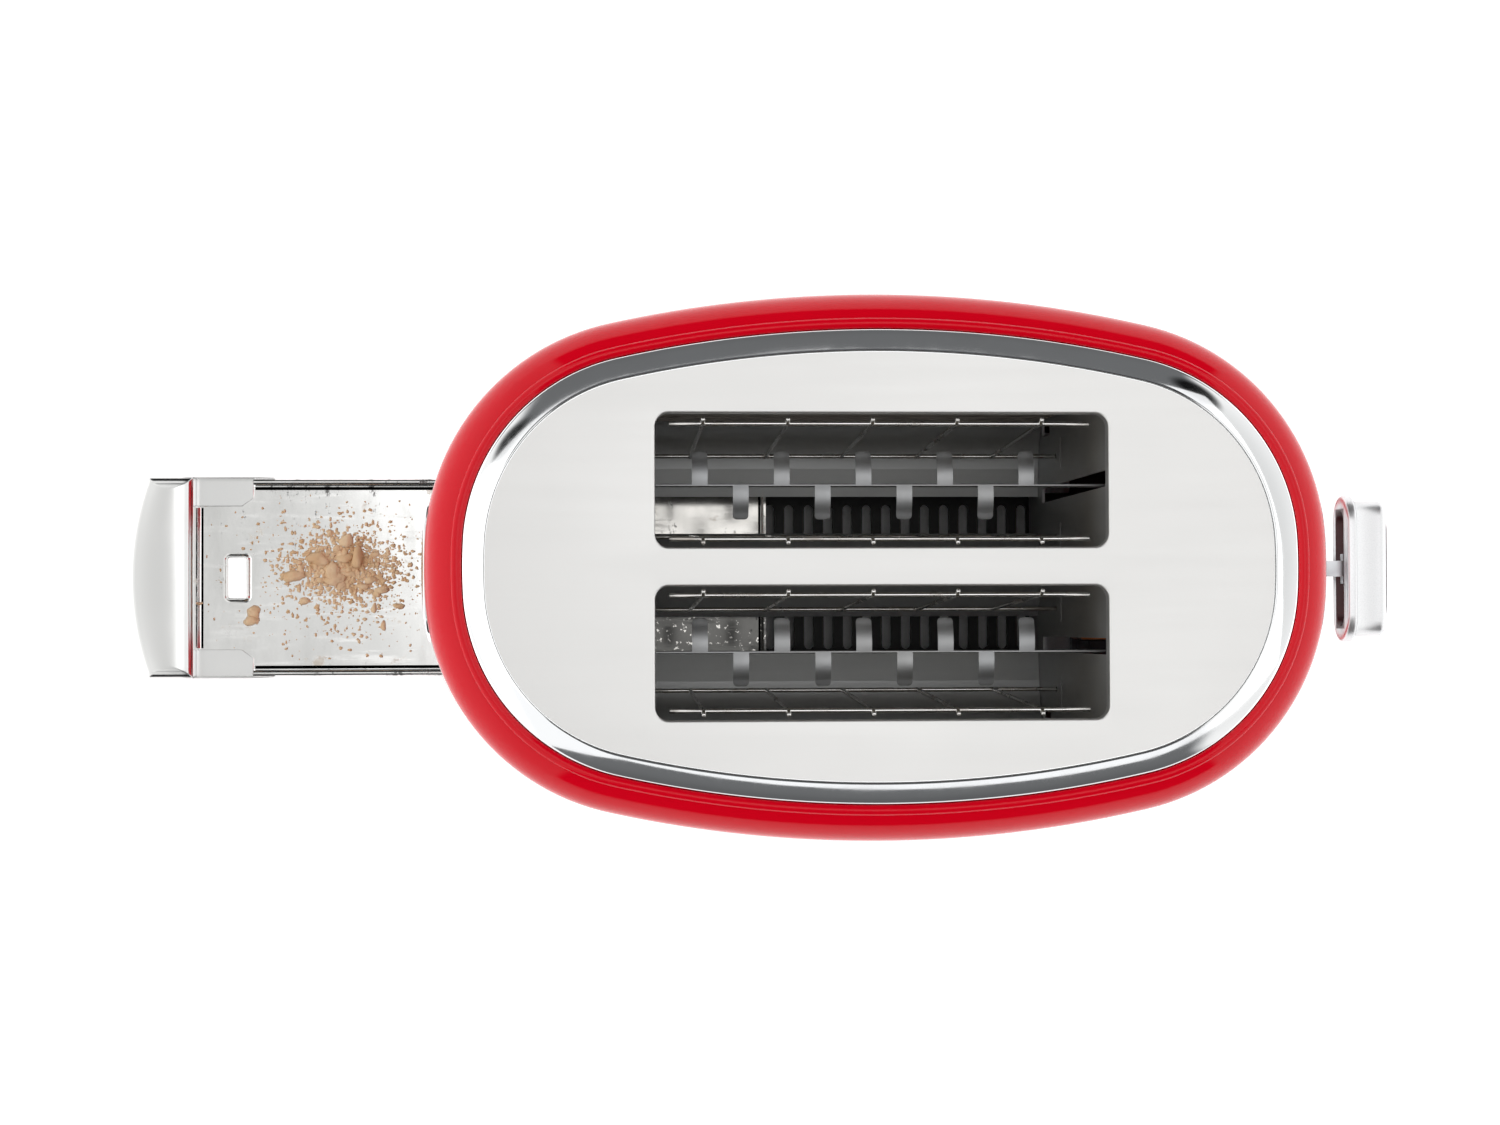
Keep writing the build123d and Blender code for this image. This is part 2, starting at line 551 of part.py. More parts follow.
def bulkhead(side):
    """End wall of the chamber with rack slot, guard pivots and an outward flange at the top."""
    x0, x1 = BULKHEAD_X, BULKHEAD_X + SHEET
    wall = block(x0, x1, -REFLECTOR_Y, REFLECTOR_Y, BASE_TOP_Z, CHAMBER_TOP_Z)
    tray_half = HANDLE_HALF_WIDTH + TRAY_CLEARANCE + SHEET + 0.6
    wall -= block(x0 - 1, x1 + 1, -tray_half, tray_half, BASE_TOP_Z - 1, HANDLE_TOP_Z + 3)
    for y in SLOT_YS:
        flange = block(x1 - 0.1, x1 + BULKHEAD_FLANGE, y - SLOT_WIDTH / 2 - 1.2,
                       y + SLOT_WIDTH / 2 + 1.2, CHAMBER_TOP_Z - SHEET - 1.4, CHAMBER_TOP_Z - 1.4)
        wall += flange
    for sy in SIDES:
        wall += block(x1 - 0.1, x1 + 2 * SCREW_X_INSET, sy * SCREW_Y - 5, sy * SCREW_Y + 5,
                      BASE_TOP_Z, BASE_TOP_Z + SHEET)
    width = RACK_SLOT_WIDTH if side > 0 else RAIL_WALL + 1.2
    shift = RACK_SLOT_SHIFT if side > 0 else 0
    for y in SLOT_YS:
        wall -= block(x0 - 1, x1 + BULKHEAD_FLANGE + 1, y + shift - width / 2, y + shift + width / 2,
                      RACK_SLOT_BOTTOM_Z, CHAMBER_TOP_Z + 1)
        for sy in SIDES:
            pivot_y = y + sy * GUARD_BOTTOM_HALF
            wall -= rod_x(x0 - 1, x1 + 1, pivot_y, GUARD_BOTTOM_Z, WIRE + 0.6)
            window_y = y + sy * (GUARD_TOP_HALF + 6.5)
            wall -= block(x0 - 1, x1 + 1, window_y - 2, window_y + 2, CHAMBER_FLOOR_Z + 10,
                          CHAMBER_FLOOR_Z + 25)
            slit_y = y + sy * 14.0
            wall -= block(x0 - 1, x1 + 1, slit_y - 5, slit_y + 5, GUARD_BOTTOM_Z + 9,
                          GUARD_BOTTOM_Z + 10.2)
    for x_y in (-CARD_Y, 0, CARD_Y):
        wall -= block(x0 - 1, x1 + 1, x_y - 1.4, x_y + 1.4, CHAMBER_TOP_Z - 30, CHAMBER_TOP_Z - 18)
    for x, y in screw_places():
        if x > 0:
            wall -= rod_z(x, y, BASE_TOP_Z - 1, BASE_TOP_Z + 2, SCREW_DIAMETER + 2 * SCREW_CLEARANCE)
    return wall if side > 0 else mirror(wall, about=Plane.YZ)


def reflector(side):
    """Side reflector: upright sheet that turns in at the bottom to guide crumbs to the tray."""
    half = BULKHEAD_X - 0.2
    floor_y = REFLECTOR_Y - REFLECTOR_BEND
    bend_z = CHAMBER_FLOOR_Z + 2 + REFLECTOR_BEND

    def run(inset):
        y = REFLECTOR_Y - SHEET * inset
        radius = REFLECTOR_BEND - SHEET * inset
        low = bend_z - radius
        diagonal = radius * sqrt(0.5)
        middle = (0, floor_y + diagonal, bend_z - diagonal)
        return [Edge.make_line((0, y, CHAMBER_TOP_Z - 1), (0, y, bend_z)),
                Edge.make_three_point_arc((0, y, bend_z), middle, (0, floor_y, low)),
                Edge.make_line((0, floor_y, low), (0, CHUTE_OUTER_Y, low - 2))]

    outer, inner = run(0), run(1)
    ends = [Edge.make_line(outer[0] @ 0, inner[0] @ 0), Edge.make_line(outer[2] @ 1, inner[2] @ 1)]
    section = Face(Wire(outer + inner + ends))
    sheet = Pos(-half, 0, 0) * extrude(section, amount=2 * half, dir=(1, 0, 0))
    return sheet if side > 0 else mirror(sheet, about=Plane.XZ)


def crumb_ridge():
    """Roof-shaped sheet under the middle heater that sheds crumbs to both sides."""
    half = BULKHEAD_X - 0.2
    top = CHAMBER_FLOOR_Z + CRUMB_RIDGE_RISE
    points = [(-CHUTE_INNER_Y, CHAMBER_FLOOR_Z), (0, top), (CHUTE_INNER_Y, CHAMBER_FLOOR_Z),
              (CHUTE_INNER_Y - 1.2, CHAMBER_FLOOR_Z), (0, top - 1.2),
              (-CHUTE_INNER_Y + 1.2, CHAMBER_FLOOR_Z)]
    return prism_x(Polygon(*points, align=None), -half, half)


def card_heights():
    return CHAMBER_FLOOR_Z + 24, CHAMBER_TOP_Z - 16


def heater_card(y):
    """Mica sheet that carries a heating ribbon, notched where the ribbon goes round its ends."""
    z0, z1 = card_heights()
    card = block(-CARD_HALF_LENGTH, CARD_HALF_LENGTH, y - CARD_WALL / 2, y + CARD_WALL / 2, z0, z1)
    for z in ribbon_heights():
        for side in SIDES:
            card -= block(side * CARD_HALF_LENGTH - 2, side * CARD_HALF_LENGTH + 2, y - 2, y + 2,
                          z - RIBBON_HEIGHT, z + RIBBON_HEIGHT)
    return card


def ribbon_pitch():
    z0, z1 = card_heights()
    return (z1 - z0 - 10) / RIBBON_TURNS


def ribbon_heights():
    z0, _ = card_heights()
    return [z0 + 5 + n * ribbon_pitch() for n in range(RIBBON_TURNS)]


def heater_ribbon(y):
    """Flat resistance ribbon wound round a card: level runs in front, slanted runs behind."""
    half = CARD_HALF_LENGTH - 2
    face = CARD_WALL / 2
    front, back = y - face - RIBBON_WALL, y + face
    heights = ribbon_heights()
    ribbon = None
    for n, z in enumerate(heights):
        run = block(-half - 1, half + 1, front, front + RIBBON_WALL, z - RIBBON_HEIGHT / 2,
                    z + RIBBON_HEIGHT / 2)
        run += block(half + 0.7, half + 1, front, back + RIBBON_WALL, z - RIBBON_HEIGHT / 2,
                     z + RIBBON_HEIGHT / 2)
        if n + 1 < len(heights):
            rise = ribbon_pitch()
            low, high = z - RIBBON_HEIGHT / 2, z + RIBBON_HEIGHT / 2
            slant = Polygon((half + 1, low), (half + 1, high), (-half - 1, high + rise),
                            (-half - 1, low + rise), align=None)
            run += extrude(Plane((0, back, 0), x_dir=(1, 0, 0), z_dir=(0, -1, 0)) * slant,
                           amount=-RIBBON_WALL)
            run += block(-half - 1, -half - 0.7, front, back + RIBBON_WALL, low + rise, high + rise)
        ribbon = run if ribbon is None else ribbon + run
    return ribbon


# ---------------------------------------------------------------- bread guards

def guard(slot_y, side):
    """Wire cage on one side of a slot: two bars and five upright wires, hinged at the low bar."""
    low_y, high_y = slot_y + side * GUARD_BOTTOM_HALF, slot_y + side * GUARD_TOP_HALF
    high_z = PLATE_Z - GUARD_TOP_DROP
    cage = rod_x(-BULKHEAD_X - 2, BULKHEAD_X + 2, low_y, GUARD_BOTTOM_Z, WIRE)
    cage += rod_x(-GUARD_BAR_END, GUARD_BAR_END, high_y, high_z, WIRE)
    lean = (high_y - low_y) / (high_z - GUARD_BOTTOM_Z)
    for n in range(GUARD_COUNT):
        x = GUARD_SHIFT + (n - (GUARD_COUNT - 1) / 2) * GUARD_PITCH
        tip = (x, high_y + side * GUARD_FLARE, high_z + GUARD_STUB)
        foot = (x, low_y - lean * 3, GUARD_BOTTOM_Z - 3)
        cage += wire_between(foot, (x, high_y, high_z), WIRE)
        cage += wire_between((x, high_y, high_z), tip, WIRE)
    return cage


# ---------------------------------------------------------------- carriage

def bread_rack(slot_y):
    """Thin rail with arched fingers to both sides that lifts the bread."""
    rail = block(-BULKHEAD_X - 4, CARRIAGE_X, slot_y - RAIL_WALL / 2, slot_y + RAIL_WALL / 2,
                 RACK_Z - RAIL_HEIGHT, RACK_Z)
    for side, count in ((1, 5), (-1, 4)):
        for n in range(count):
            x = FINGER_SHIFT + (n - (count - 1) / 2) * FINGER_PITCH
            rail += finger(x, slot_y, side)
    return rail


def finger(x, slot_y, side):
    """One arched finger with a rounded tip."""
    start, tip = (0, RACK_Z - RAIL_WALL), (FINGER_REACH, RACK_Z - RAIL_WALL - FINGER_FALL)
    crown = (FINGER_REACH * 0.45, RACK_Z - RAIL_WALL + 0.5)
    under = [Edge.make_three_point_arc(*((0, y, z) for y, z in (start, crown, tip)))]
    over = [Edge.make_three_point_arc(*((0, y, z + RAIL_WALL) for y, z in (start, crown, tip)))]
    ends = [Edge.make_line(under[0] @ 0, over[0] @ 0), Edge.make_line(under[0] @ 1, over[0] @ 1)]
    strip = extrude(Face(Wire(under + over + ends)), amount=FINGER_WIDTH, dir=(1, 0, 0))
    strip = Pos(-FINGER_WIDTH / 2, 0, 0) * strip
    plan = RectangleRounded(FINGER_WIDTH, 2 * FINGER_REACH, 1.6)
    strip &= extrude(Pos(0, 0, RACK_Z - 8) * plan, amount=16)
    return Pos(x, slot_y, 0) * (strip if side > 0 else mirror(strip, about=Plane.XZ))


def carriage_bracket():
    """Steel bracket that joins the racks, the lever arm and the bush on the guide rod."""
    x0, x1 = CARRIAGE_X, CARRIAGE_X + CARRIAGE_WALL
    half = SLOT_PITCH / 2 + 4
    plate = block(x0, x1, -half, half, RACK_Z - RAIL_HEIGHT - 4, RACK_Z + 1)
    plate += block(x0, x1, -12, 24, SHELF_Z, RACK_Z - RAIL_HEIGHT - 3)
    plate += block(x0, ROD_X + 8, -28, ROD_Y + 8, SHELF_Z, SHELF_Z + CARRIAGE_WALL)
    plate += block(x0, x1, -28, -11, SHELF_Z, SHELF_Z + 12)
    return plate - rod_z(ROD_X, ROD_Y, SHELF_Z - 5, SHELF_Z + 5, BUSH_DIAMETER)


def carriage_bush():
    """Flanged bush that slides on the guide rod."""
    bush = rod_z(ROD_X, ROD_Y, SHELF_Z - 6, SHELF_Z + 8, BUSH_DIAMETER)
    bush += rod_z(ROD_X, ROD_Y, SHELF_Z + CARRIAGE_WALL, SHELF_Z + CARRIAGE_WALL + 1.2,
                  BUSH_DIAMETER + 3)
    return bush - rod_z(ROD_X, ROD_Y, SHELF_Z - 10, SHELF_Z + 12, ROD_DIAMETER + 2 * BUSH_FIT)


def guide_rod():
    """Upright rod from the base to its top bracket."""
    return rod_z(ROD_X, ROD_Y, BASE_TOP_Z - 1.2, CHAMBER_TOP_Z - 4, ROD_DIAMETER)


def rod_bracket():
    """Shelf on the lever-end bulkhead that holds the top of the guide rod."""
    z = CHAMBER_TOP_Z - 6
    x0 = BULKHEAD_X + SHEET
    shelf = block(x0, ROD_X + 6, ROD_Y - 8, ROD_Y + 8, z, z + 1.2)
    shelf += block(x0, x0 + 1.2, ROD_Y - 8, ROD_Y + 8, z - 9, z + 1.2)
    return shelf - rod_z(ROD_X, ROD_Y, z - 5, z + 5, ROD_DIAMETER)


def lift_spring():
    """Sleeve the size of the coil spring that pushes the carriage up."""
    top = SHELF_Z - 6
    sleeve = rod_z(ROD_X, ROD_Y, BASE_TOP_Z, top, SPRING_DIAMETER)
    return sleeve - rod_z(ROD_X, ROD_Y, 0, top + 5, SPRING_DIAMETER - 2 * SPRING_WIRE)


def knob_back_x():
    return RIM_HALF_LENGTH + SHOULDER_OFFSET + KNOB_GAP


def lever_arm():
    """Flat bar from the carriage to the knob."""
    tip = knob_back_x() + KNOB_HOLLOW_DEPTH
    y = ARM_WIDTH / 2
    arm = block(CARRIAGE_X + CARRIAGE_WALL, tip, -y, y, LEVER_Z - ARM_HEIGHT / 2,
                LEVER_Z + ARM_HEIGHT / 2)
    clip = block(knob_back_x() + 0.6, knob_back_x() + 2.2, -y - 2.2, y + 2.2, LEVER_Z - 1.6,
                 LEVER_Z + 1.6)
    return arm + clip


def lever_knob():
    """Moulded knob: stadium flange, rounded block and a hollow back."""
    x = knob_back_x()
    flange = prism_x(Pos(0, LEVER_Z) * SlotOverall(KNOB_FLANGE_LENGTH, KNOB_FLANGE_HEIGHT), x,
                     x + KNOB_FLANGE_WALL)
    flange = fillet(flange.edges().filter_by(GeomType.LINE).filter_by(Axis.Y)
                    + flange.edges().filter_by(GeomType.CIRCLE), 1.0)
    body = RectangleRounded(KNOB_LENGTH, KNOB_HEIGHT, 5.0)
    body = prism_x(Pos(0, LEVER_Z) * body, x + 1.5, x + KNOB_FLANGE_WALL + KNOB_DEPTH)
    body = fillet(body.faces().sort_by(Axis.X)[-1].edges(), 2.6)
    hollow = SlotOverall(KNOB_HOLLOW_LENGTH, KNOB_HOLLOW_HEIGHT)
    hollow = prism_x(Pos(0, LEVER_Z) * hollow, x - 1, x + KNOB_HOLLOW_DEPTH)
    return flange + body - hollow


def armature_plate():
    """Iron plate under the carriage shelf that the electromagnet holds."""
    return block(ROD_X - 10, ROD_X + 6, -26, -10, SHELF_Z - 2, SHELF_Z)


def magnet_top():
    return SHELF_Z - 2 - TRAVEL - 0.3


def magnet_bracket():
    """Shelf on the bulkhead that carries the electromagnet."""
    z = magnet_top() - 28
    x0 = BULKHEAD_X + SHEET
    shelf = block(x0, ROD_X + 8, -28, -8, z, z + 1.2)
    return shelf + block(x0, x0 + 1.2, -28, -8, z, z + 16)


def magnet_core():
    """E-shaped laminated core."""
    z0, z1 = magnet_top() - 26.8, magnet_top()
    core = block(ROD_X - 10, ROD_X + 6, -26, -10, z0, z0 + 4)
    for y in (-26, -20, -13):
        width = 3 if y != -20 else 4
        core += block(ROD_X - 8, ROD_X + 4, y, y + width, z0, z1)
    return core


def magnet_coil():
    """Bobbin with its winding round the core's middle leg."""
    z0, z1 = magnet_top() - 22.4, magnet_top() - 3
    shape = block(ROD_X - 11, ROD_X + 7, -22.4, -13.6, z0, z1)
    shape = fillet(shape.edges().filter_by(Axis.Z), 2.0)
    return shape - block(ROD_X - 8, ROD_X + 4, -20, -16, z0 - 1, z1 + 1)


# ---------------------------------------------------------------- controls

def button_ys():
    return [(n - 1) * BUTTON_PITCH for n in range(3)]


def board_x():
    """Front face of the control board."""
    return skin_x(DIAL_Z) - BOARD_SETBACK


def board_block():
    return block(board_x() - BOARD_WALL, board_x(), -BOARD_HALF_WIDTH, BOARD_HALF_WIDTH,
                 BOARD_BOTTOM_Z, BOARD_TOP_Z)


def control_board():
    """Printed circuit board standing in clips on the base."""
    return board_block()


def board_components():
    """Relay, capacitor, controller and resistors on the back of the board."""
    back = board_x() - BOARD_WALL
    relay = block(back - 15, back, 12, 27, 26, 42)
    capacitor = rod_x(back - 11, back, -18, 50, 12)
    controller = block(back - 2.5, back, -12, 8, 44, 52)
    parts = [relay, capacitor, controller]
    for n in range(4):
        parts.append(rod_x(back - 6, back, -26 + n * 5, 22, 3))
    return Compound(children=parts)


def button_switches():
    """Three small push switches on the front of the board."""
    half = SWITCH_SIZE / 2
    return Compound(children=[
        block(board_x(), board_x() + SWITCH_HEIGHT, y - half, y + half, BUTTON_Z - half,
              BUTTON_Z + half) for y in button_ys()])


def push_button(y):
    """Cap with a stop collar inside the panel and a stem that reaches the switch."""
    face = skin_x(BUTTON_Z) + PANEL_PROUD + BUTTON_PROUD - 0.6 * abs(y) / BUTTON_PITCH
    collar = skin_x(BUTTON_Z) - SKIN_WALL - 2.6
    shape = Pos(y, BUTTON_Z) * RectangleRounded(BUTTON_WIDTH, BUTTON_HEIGHT, 1.5)
    cap = prism_x(shape, collar, face)
    cap = fillet(cap.faces().sort_by(Axis.X)[-1].edges(), 0.9)
    cap += prism_x(Pos(y, BUTTON_Z) * Rectangle(BUTTON_WIDTH + 2.4, BUTTON_HEIGHT + 2), collar - 1.4,
                   collar)
    stem_start = board_x() + SWITCH_HEIGHT + BUTTON_TRAVEL + 0.3
    return cap + rod_x(stem_start, collar - 1, y, BUTTON_Z, 3.4)


def dial_potentiometer():
    """Rotary control on the board that the dial's shaft turns."""
    x0 = board_x()
    body = rod_x(x0, x0 + 7, 0, DIAL_Z, 16)
    body += rod_x(x0 + 6.9, x0 + 10, 0, DIAL_Z, 9)
    return body - rod_x(x0 + 2, x0 + 11, 0, DIAL_Z, SHAFT_DIAMETER + 2 * SHAFT_FIT)


def browning_dial():
    """Ribbed dial with a pointer line, on its shaft."""
    x0 = skin_x(DIAL_Z) + PANEL_PROUD + DIAL_GAP
    dial = rod_x(x0, x0 + DIAL_HEIGHT, 0, DIAL_Z, DIAL_DIAMETER)
    dial = fillet(dial.edges().group_by(Axis.X)[-1], 1.6)
    ribs = 24
    for n in range(ribs):
        angle = radians(360 * n / ribs)
        y, z = DIAL_DIAMETER / 2 * cos(angle), DIAL_DIAMETER / 2 * sin(angle)
        dial -= rod_x(x0 + 2, x0 + DIAL_HEIGHT + 1, y * 1.02, DIAL_Z + z * 1.02, 1.5)
    dial -= block(x0 + DIAL_HEIGHT - 0.5, x0 + DIAL_HEIGHT + 1, -0.6, 0.6, DIAL_Z + 3,
                  DIAL_Z + DIAL_DIAMETER / 2 - 2)
    return dial + rod_x(board_x() + 4, x0 + 1, 0, DIAL_Z, SHAFT_DIAMETER)


# ---------------------------------------------------------------- crumb tray

def handle_tip():
    """Foremost point of the tray's handle, drawn out."""
    return -(RIM_HALF_LENGTH + BASE_RIM_OFFSET + HANDLE_STAND_OUT + TRAY_DRAWN)


def handle_back():
    return handle_tip() + HANDLE_DEPTH


def tray_inner_end():
    return handle_back() + TRAY_LENGTH


def crumb_pan():
    """Sheet-metal pan with rolled side edges and a raised-lip window near the handle."""
    x0, x1 = handle_back(), tray_inner_end()
    half, z = TRAY_HALF_WIDTH, TRAY_FLOOR_Z
    top = z + TRAY_SIDE_HEIGHT
    side_start = x0 + TAB_LENGTH + TAB_GAP
    pan = block(x0, x1, -half, half, z, z + SHEET)
    for side in SIDES:
        wall_y = side * (half - SHEET / 2)
        pan += block(side_start, x1, wall_y - SHEET / 2, wall_y + SHEET / 2, z, top)
        pan += rod_x(side_start, x1, wall_y, top, TRAY_ROLL)
    pan += block(x1 - SHEET, x1, -half, half, z, top)
    front_half = TRAY_HALF_WIDTH - TAB_WIDTH - TAB_GAP
    pan += block(x0, x0 + SHEET, -front_half, front_half, z, HANDLE_TOP_Z - 3)
    window_x = x0 + WINDOW_SETBACK
    lip = RectangleRounded(WINDOW_WIDTH + 2 * SHEET, WINDOW_LENGTH + 2 * SHEET, 1.8)
    window = RectangleRounded(WINDOW_WIDTH, WINDOW_LENGTH, 1.0)
    pan += prism_z(Pos(window_x, 0) * lip, z, z + SHEET + 1.4)
    return pan - prism_z(Pos(window_x, 0) * window, z - 1, z + 5)


def handle_plan(inset):
    """Top view of the handle, made smaller by an inset: straight back, bowed front."""
    tip, back, half = handle_tip() + inset, handle_back() - inset, HANDLE_HALF_WIDTH - inset
    corner = handle_tip() + HANDLE_BOW + inset
    front = Edge.make_three_point_arc((corner, -half, 0), (tip, 0, 0), (corner, half, 0))
    sides = [Edge.make_line((corner, half, 0), (back, half, 0)),
             Edge.make_line((back, half, 0), (back, -half, 0)),
             Edge.make_line((back, -half, 0), (corner, -half, 0))]
    return Face(Wire([front] + sides))


def tray_handle():
    """Polished handle: bowed front, hollow below for the fingers, cheeks and tabs on the pan."""
    bar = prism_z(handle_plan(0), HANDLE_BOTTOM_Z, HANDLE_TOP_Z)
    front = [e for e in bar.edges().group_by(Axis.Z)[-1] if e.center().X < handle_back() - 0.5]
    bar = fillet(front, HANDLE_ROUND)
    bar -= prism_z(handle_plan(HANDLE_WALL), HANDLE_BOTTOM_Z - 1, HANDLE_TOP_Z - HANDLE_WALL)
    x0 = handle_back()
    floor_top = TRAY_FLOOR_Z + SHEET
    for side in SIDES:
        inner, outer = TRAY_HALF_WIDTH + 0.75, HANDLE_HALF_WIDTH
        cheek = Polygon((x0 - 0.5, side * inner), (x0 - 0.5, side * outer),
                        (x0 + CHEEK_LENGTH * 0.7, side * outer),
                        (x0 + CHEEK_LENGTH, side * (inner + 0.25)),
                        (x0 + CHEEK_LENGTH, side * inner), align=None)
        bar += prism_z(cheek, floor_top, floor_top + CHEEK_HEIGHT)
        tab_y = TRAY_HALF_WIDTH - TAB_WIDTH
        tab = Polygon((x0 - 0.5, side * tab_y), (x0 + TAB_LENGTH - TAB_CHAMFER, side * tab_y),
                      (x0 + TAB_LENGTH, side * (tab_y + TAB_CHAMFER * 0.75)),
                      (x0 + TAB_LENGTH, side * (inner + 0.1)), (x0 - 0.5, side * (inner + 0.1)),
                      align=None)
        bar += prism_z(tab, floor_top, floor_top + TAB_WALL)
    return bar


# ---------------------------------------------------------------- wiring

def terminal_block():
    """Mains terminal block on the base, outside the far reflector."""
    x, y = TERMINAL_X, REFLECTOR_Y + TERMINAL_GAP
    shape = block(x - 8, x + 8, y, y + 12, BASE_TOP_Z, BASE_TOP_Z + 14)
    for dx in (-4, 4):
        shape -= rod_z(x + dx, y + 6, BASE_TOP_Z + 8, BASE_TOP_Z + 16, 4)
    return shape


def write(name, shape):
    """Save one node as a STEP file."""
    shape.label = name
    export_step(shape, f"parts/{name}.step")


def build():
    """Every node of the toaster, by name."""
    nodes = {
        "body_shell": body_shell(),
        "top_bezel": top_bezel(),
        "top_plate": top_plate(),
        "control_panel": control_panel(),
        "rear_trim": rear_trim(),
        "base_pan": base_pan(),
        "foot_pads": foot_pads(),
        "base_screws": base_screws(),
        "cord_grommet": cord_grommet(),
        "terminal_block": terminal_block(),
        "tray_rail_near": tray_rail(-1),
        "tray_rail_far": tray_rail(1),
        "bulkhead_lever_end": bulkhead(1),
        "bulkhead_tray_end": bulkhead(-1),
        "reflector_near": reflector(-1),
        "reflector_far": reflector(1),
        "crumb_ridge": crumb_ridge(),
        "guide_rod": guide_rod(),
        "rod_bracket": rod_bracket(),
        "lift_spring": lift_spring(),
        "magnet_bracket": magnet_bracket(),
        "magnet_core": magnet_core(),
        "magnet_coil": magnet_coil(),
        "control_board": control_board(),
        "board_components": board_components(),
        "button_switches": button_switches(),
        "dial_potentiometer": dial_potentiometer(),
        "browning_dial": browning_dial(),
        "carriage_bracket": carriage_bracket(),
        "carriage_bush": carriage_bush(),
        "armature_plate": armature_plate(),
        "lever_arm": lever_arm(),
        "lever_knob": lever_knob(),
        "crumb_pan": crumb_pan(),
        "tray_handle": tray_handle(),
    }
    for place, y in (("near", -CARD_Y), ("middle", 0.0), ("far", CARD_Y)):
        nodes[f"heater_card_{place}"] = heater_card(y)
        nodes[f"heater_ribbon_{place}"] = heater_ribbon(y)
    for slot, y in zip(("near", "far"), SLOT_YS):
        nodes[f"bread_rack_{slot}"] = bread_rack(y)
        nodes[f"guard_{slot}_outer"] = guard(y, 1 if y > 0 else -1)
        nodes[f"guard_{slot}_inner"] = guard(y, -1 if y > 0 else 1)
    for name, y in zip(BUTTON_NAMES, button_ys()):
        nodes[name] = push_button(y)
    return nodes


os.makedirs("parts", exist_ok=True)
for node_name, node_shape in build().items():
    write(node_name, node_shape)
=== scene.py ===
# %% [markdown]
# A two-slot toaster seen from above, with its crumb tray drawn out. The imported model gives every
# part its place. It is loaded first and never moved. Around it this lesson builds the surfaces
# that an eye rests on, the enamelled skin, the polished ring, the wire guards, and it gives each
# sheet, casting and moulding the finish that the real one has.

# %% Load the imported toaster
import json
import bpy
import numpy as np
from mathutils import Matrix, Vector
from mathutils.geometry import delaunay_2d_cdt


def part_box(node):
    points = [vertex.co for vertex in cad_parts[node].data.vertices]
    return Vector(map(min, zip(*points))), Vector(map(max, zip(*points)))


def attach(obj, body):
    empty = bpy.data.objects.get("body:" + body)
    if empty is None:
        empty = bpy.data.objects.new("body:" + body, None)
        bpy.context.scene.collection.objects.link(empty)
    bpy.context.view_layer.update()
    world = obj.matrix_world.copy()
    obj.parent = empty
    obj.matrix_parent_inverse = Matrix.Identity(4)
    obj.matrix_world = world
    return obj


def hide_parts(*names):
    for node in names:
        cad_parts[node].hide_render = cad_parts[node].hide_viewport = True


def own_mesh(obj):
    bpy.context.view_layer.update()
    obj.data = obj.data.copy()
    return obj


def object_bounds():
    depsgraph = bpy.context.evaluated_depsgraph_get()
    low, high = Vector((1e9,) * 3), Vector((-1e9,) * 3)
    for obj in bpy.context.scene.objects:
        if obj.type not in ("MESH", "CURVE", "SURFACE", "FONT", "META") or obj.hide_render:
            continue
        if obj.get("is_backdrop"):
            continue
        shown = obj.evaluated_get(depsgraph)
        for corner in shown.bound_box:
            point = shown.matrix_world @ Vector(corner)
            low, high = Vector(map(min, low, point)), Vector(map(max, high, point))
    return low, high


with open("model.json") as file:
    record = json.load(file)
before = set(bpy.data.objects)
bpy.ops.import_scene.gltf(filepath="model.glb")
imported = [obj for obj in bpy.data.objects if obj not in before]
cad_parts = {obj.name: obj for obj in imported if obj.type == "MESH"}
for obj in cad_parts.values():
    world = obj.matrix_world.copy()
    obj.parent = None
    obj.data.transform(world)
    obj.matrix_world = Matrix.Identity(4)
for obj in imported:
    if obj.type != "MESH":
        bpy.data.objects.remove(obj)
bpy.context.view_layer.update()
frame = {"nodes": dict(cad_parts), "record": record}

NODES = frame["nodes"]
SLOTS = [row["slot"] for row in frame["record"]["materials"]]
PAINT = {}
MM = 0.001

# %% [markdown]
# Many places below are read from the imported nodes' boxes, so those pieces can't drift from the
# part they belong to. A box is two corners. Lengths are turned to millimetres here, because a
# toaster's drawing is in millimetres, and back to metres when a mesh is made.

# %% Boxes in millimetres
def low(node):
    """Lowest corner of a CAD node, in mm."""
    return np.array(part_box(node)[0]) / MM


def high(node):
    """Highest corner of a CAD node, in mm."""
    return np.array(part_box(node)[1]) / MM


plate_z = high("top_plate")[2]
skin_bottom = low("body_shell")[2]
print("plate at", round(plate_z, 2), "skin from", round(skin_bottom, 2))

# %% [markdown]
# Most pieces here are sheets or rings, so three small makers cover them. A grid of points becomes
# quads by index arithmetic: corner (i, j) joins (i+1, j), (i+1, j+1) and (i, j+1). A sheet gets
# its wall by copying its points along their normals and closing the border with a strip, which
# works for any faces, holes included, because a border edge is one that only one face uses.

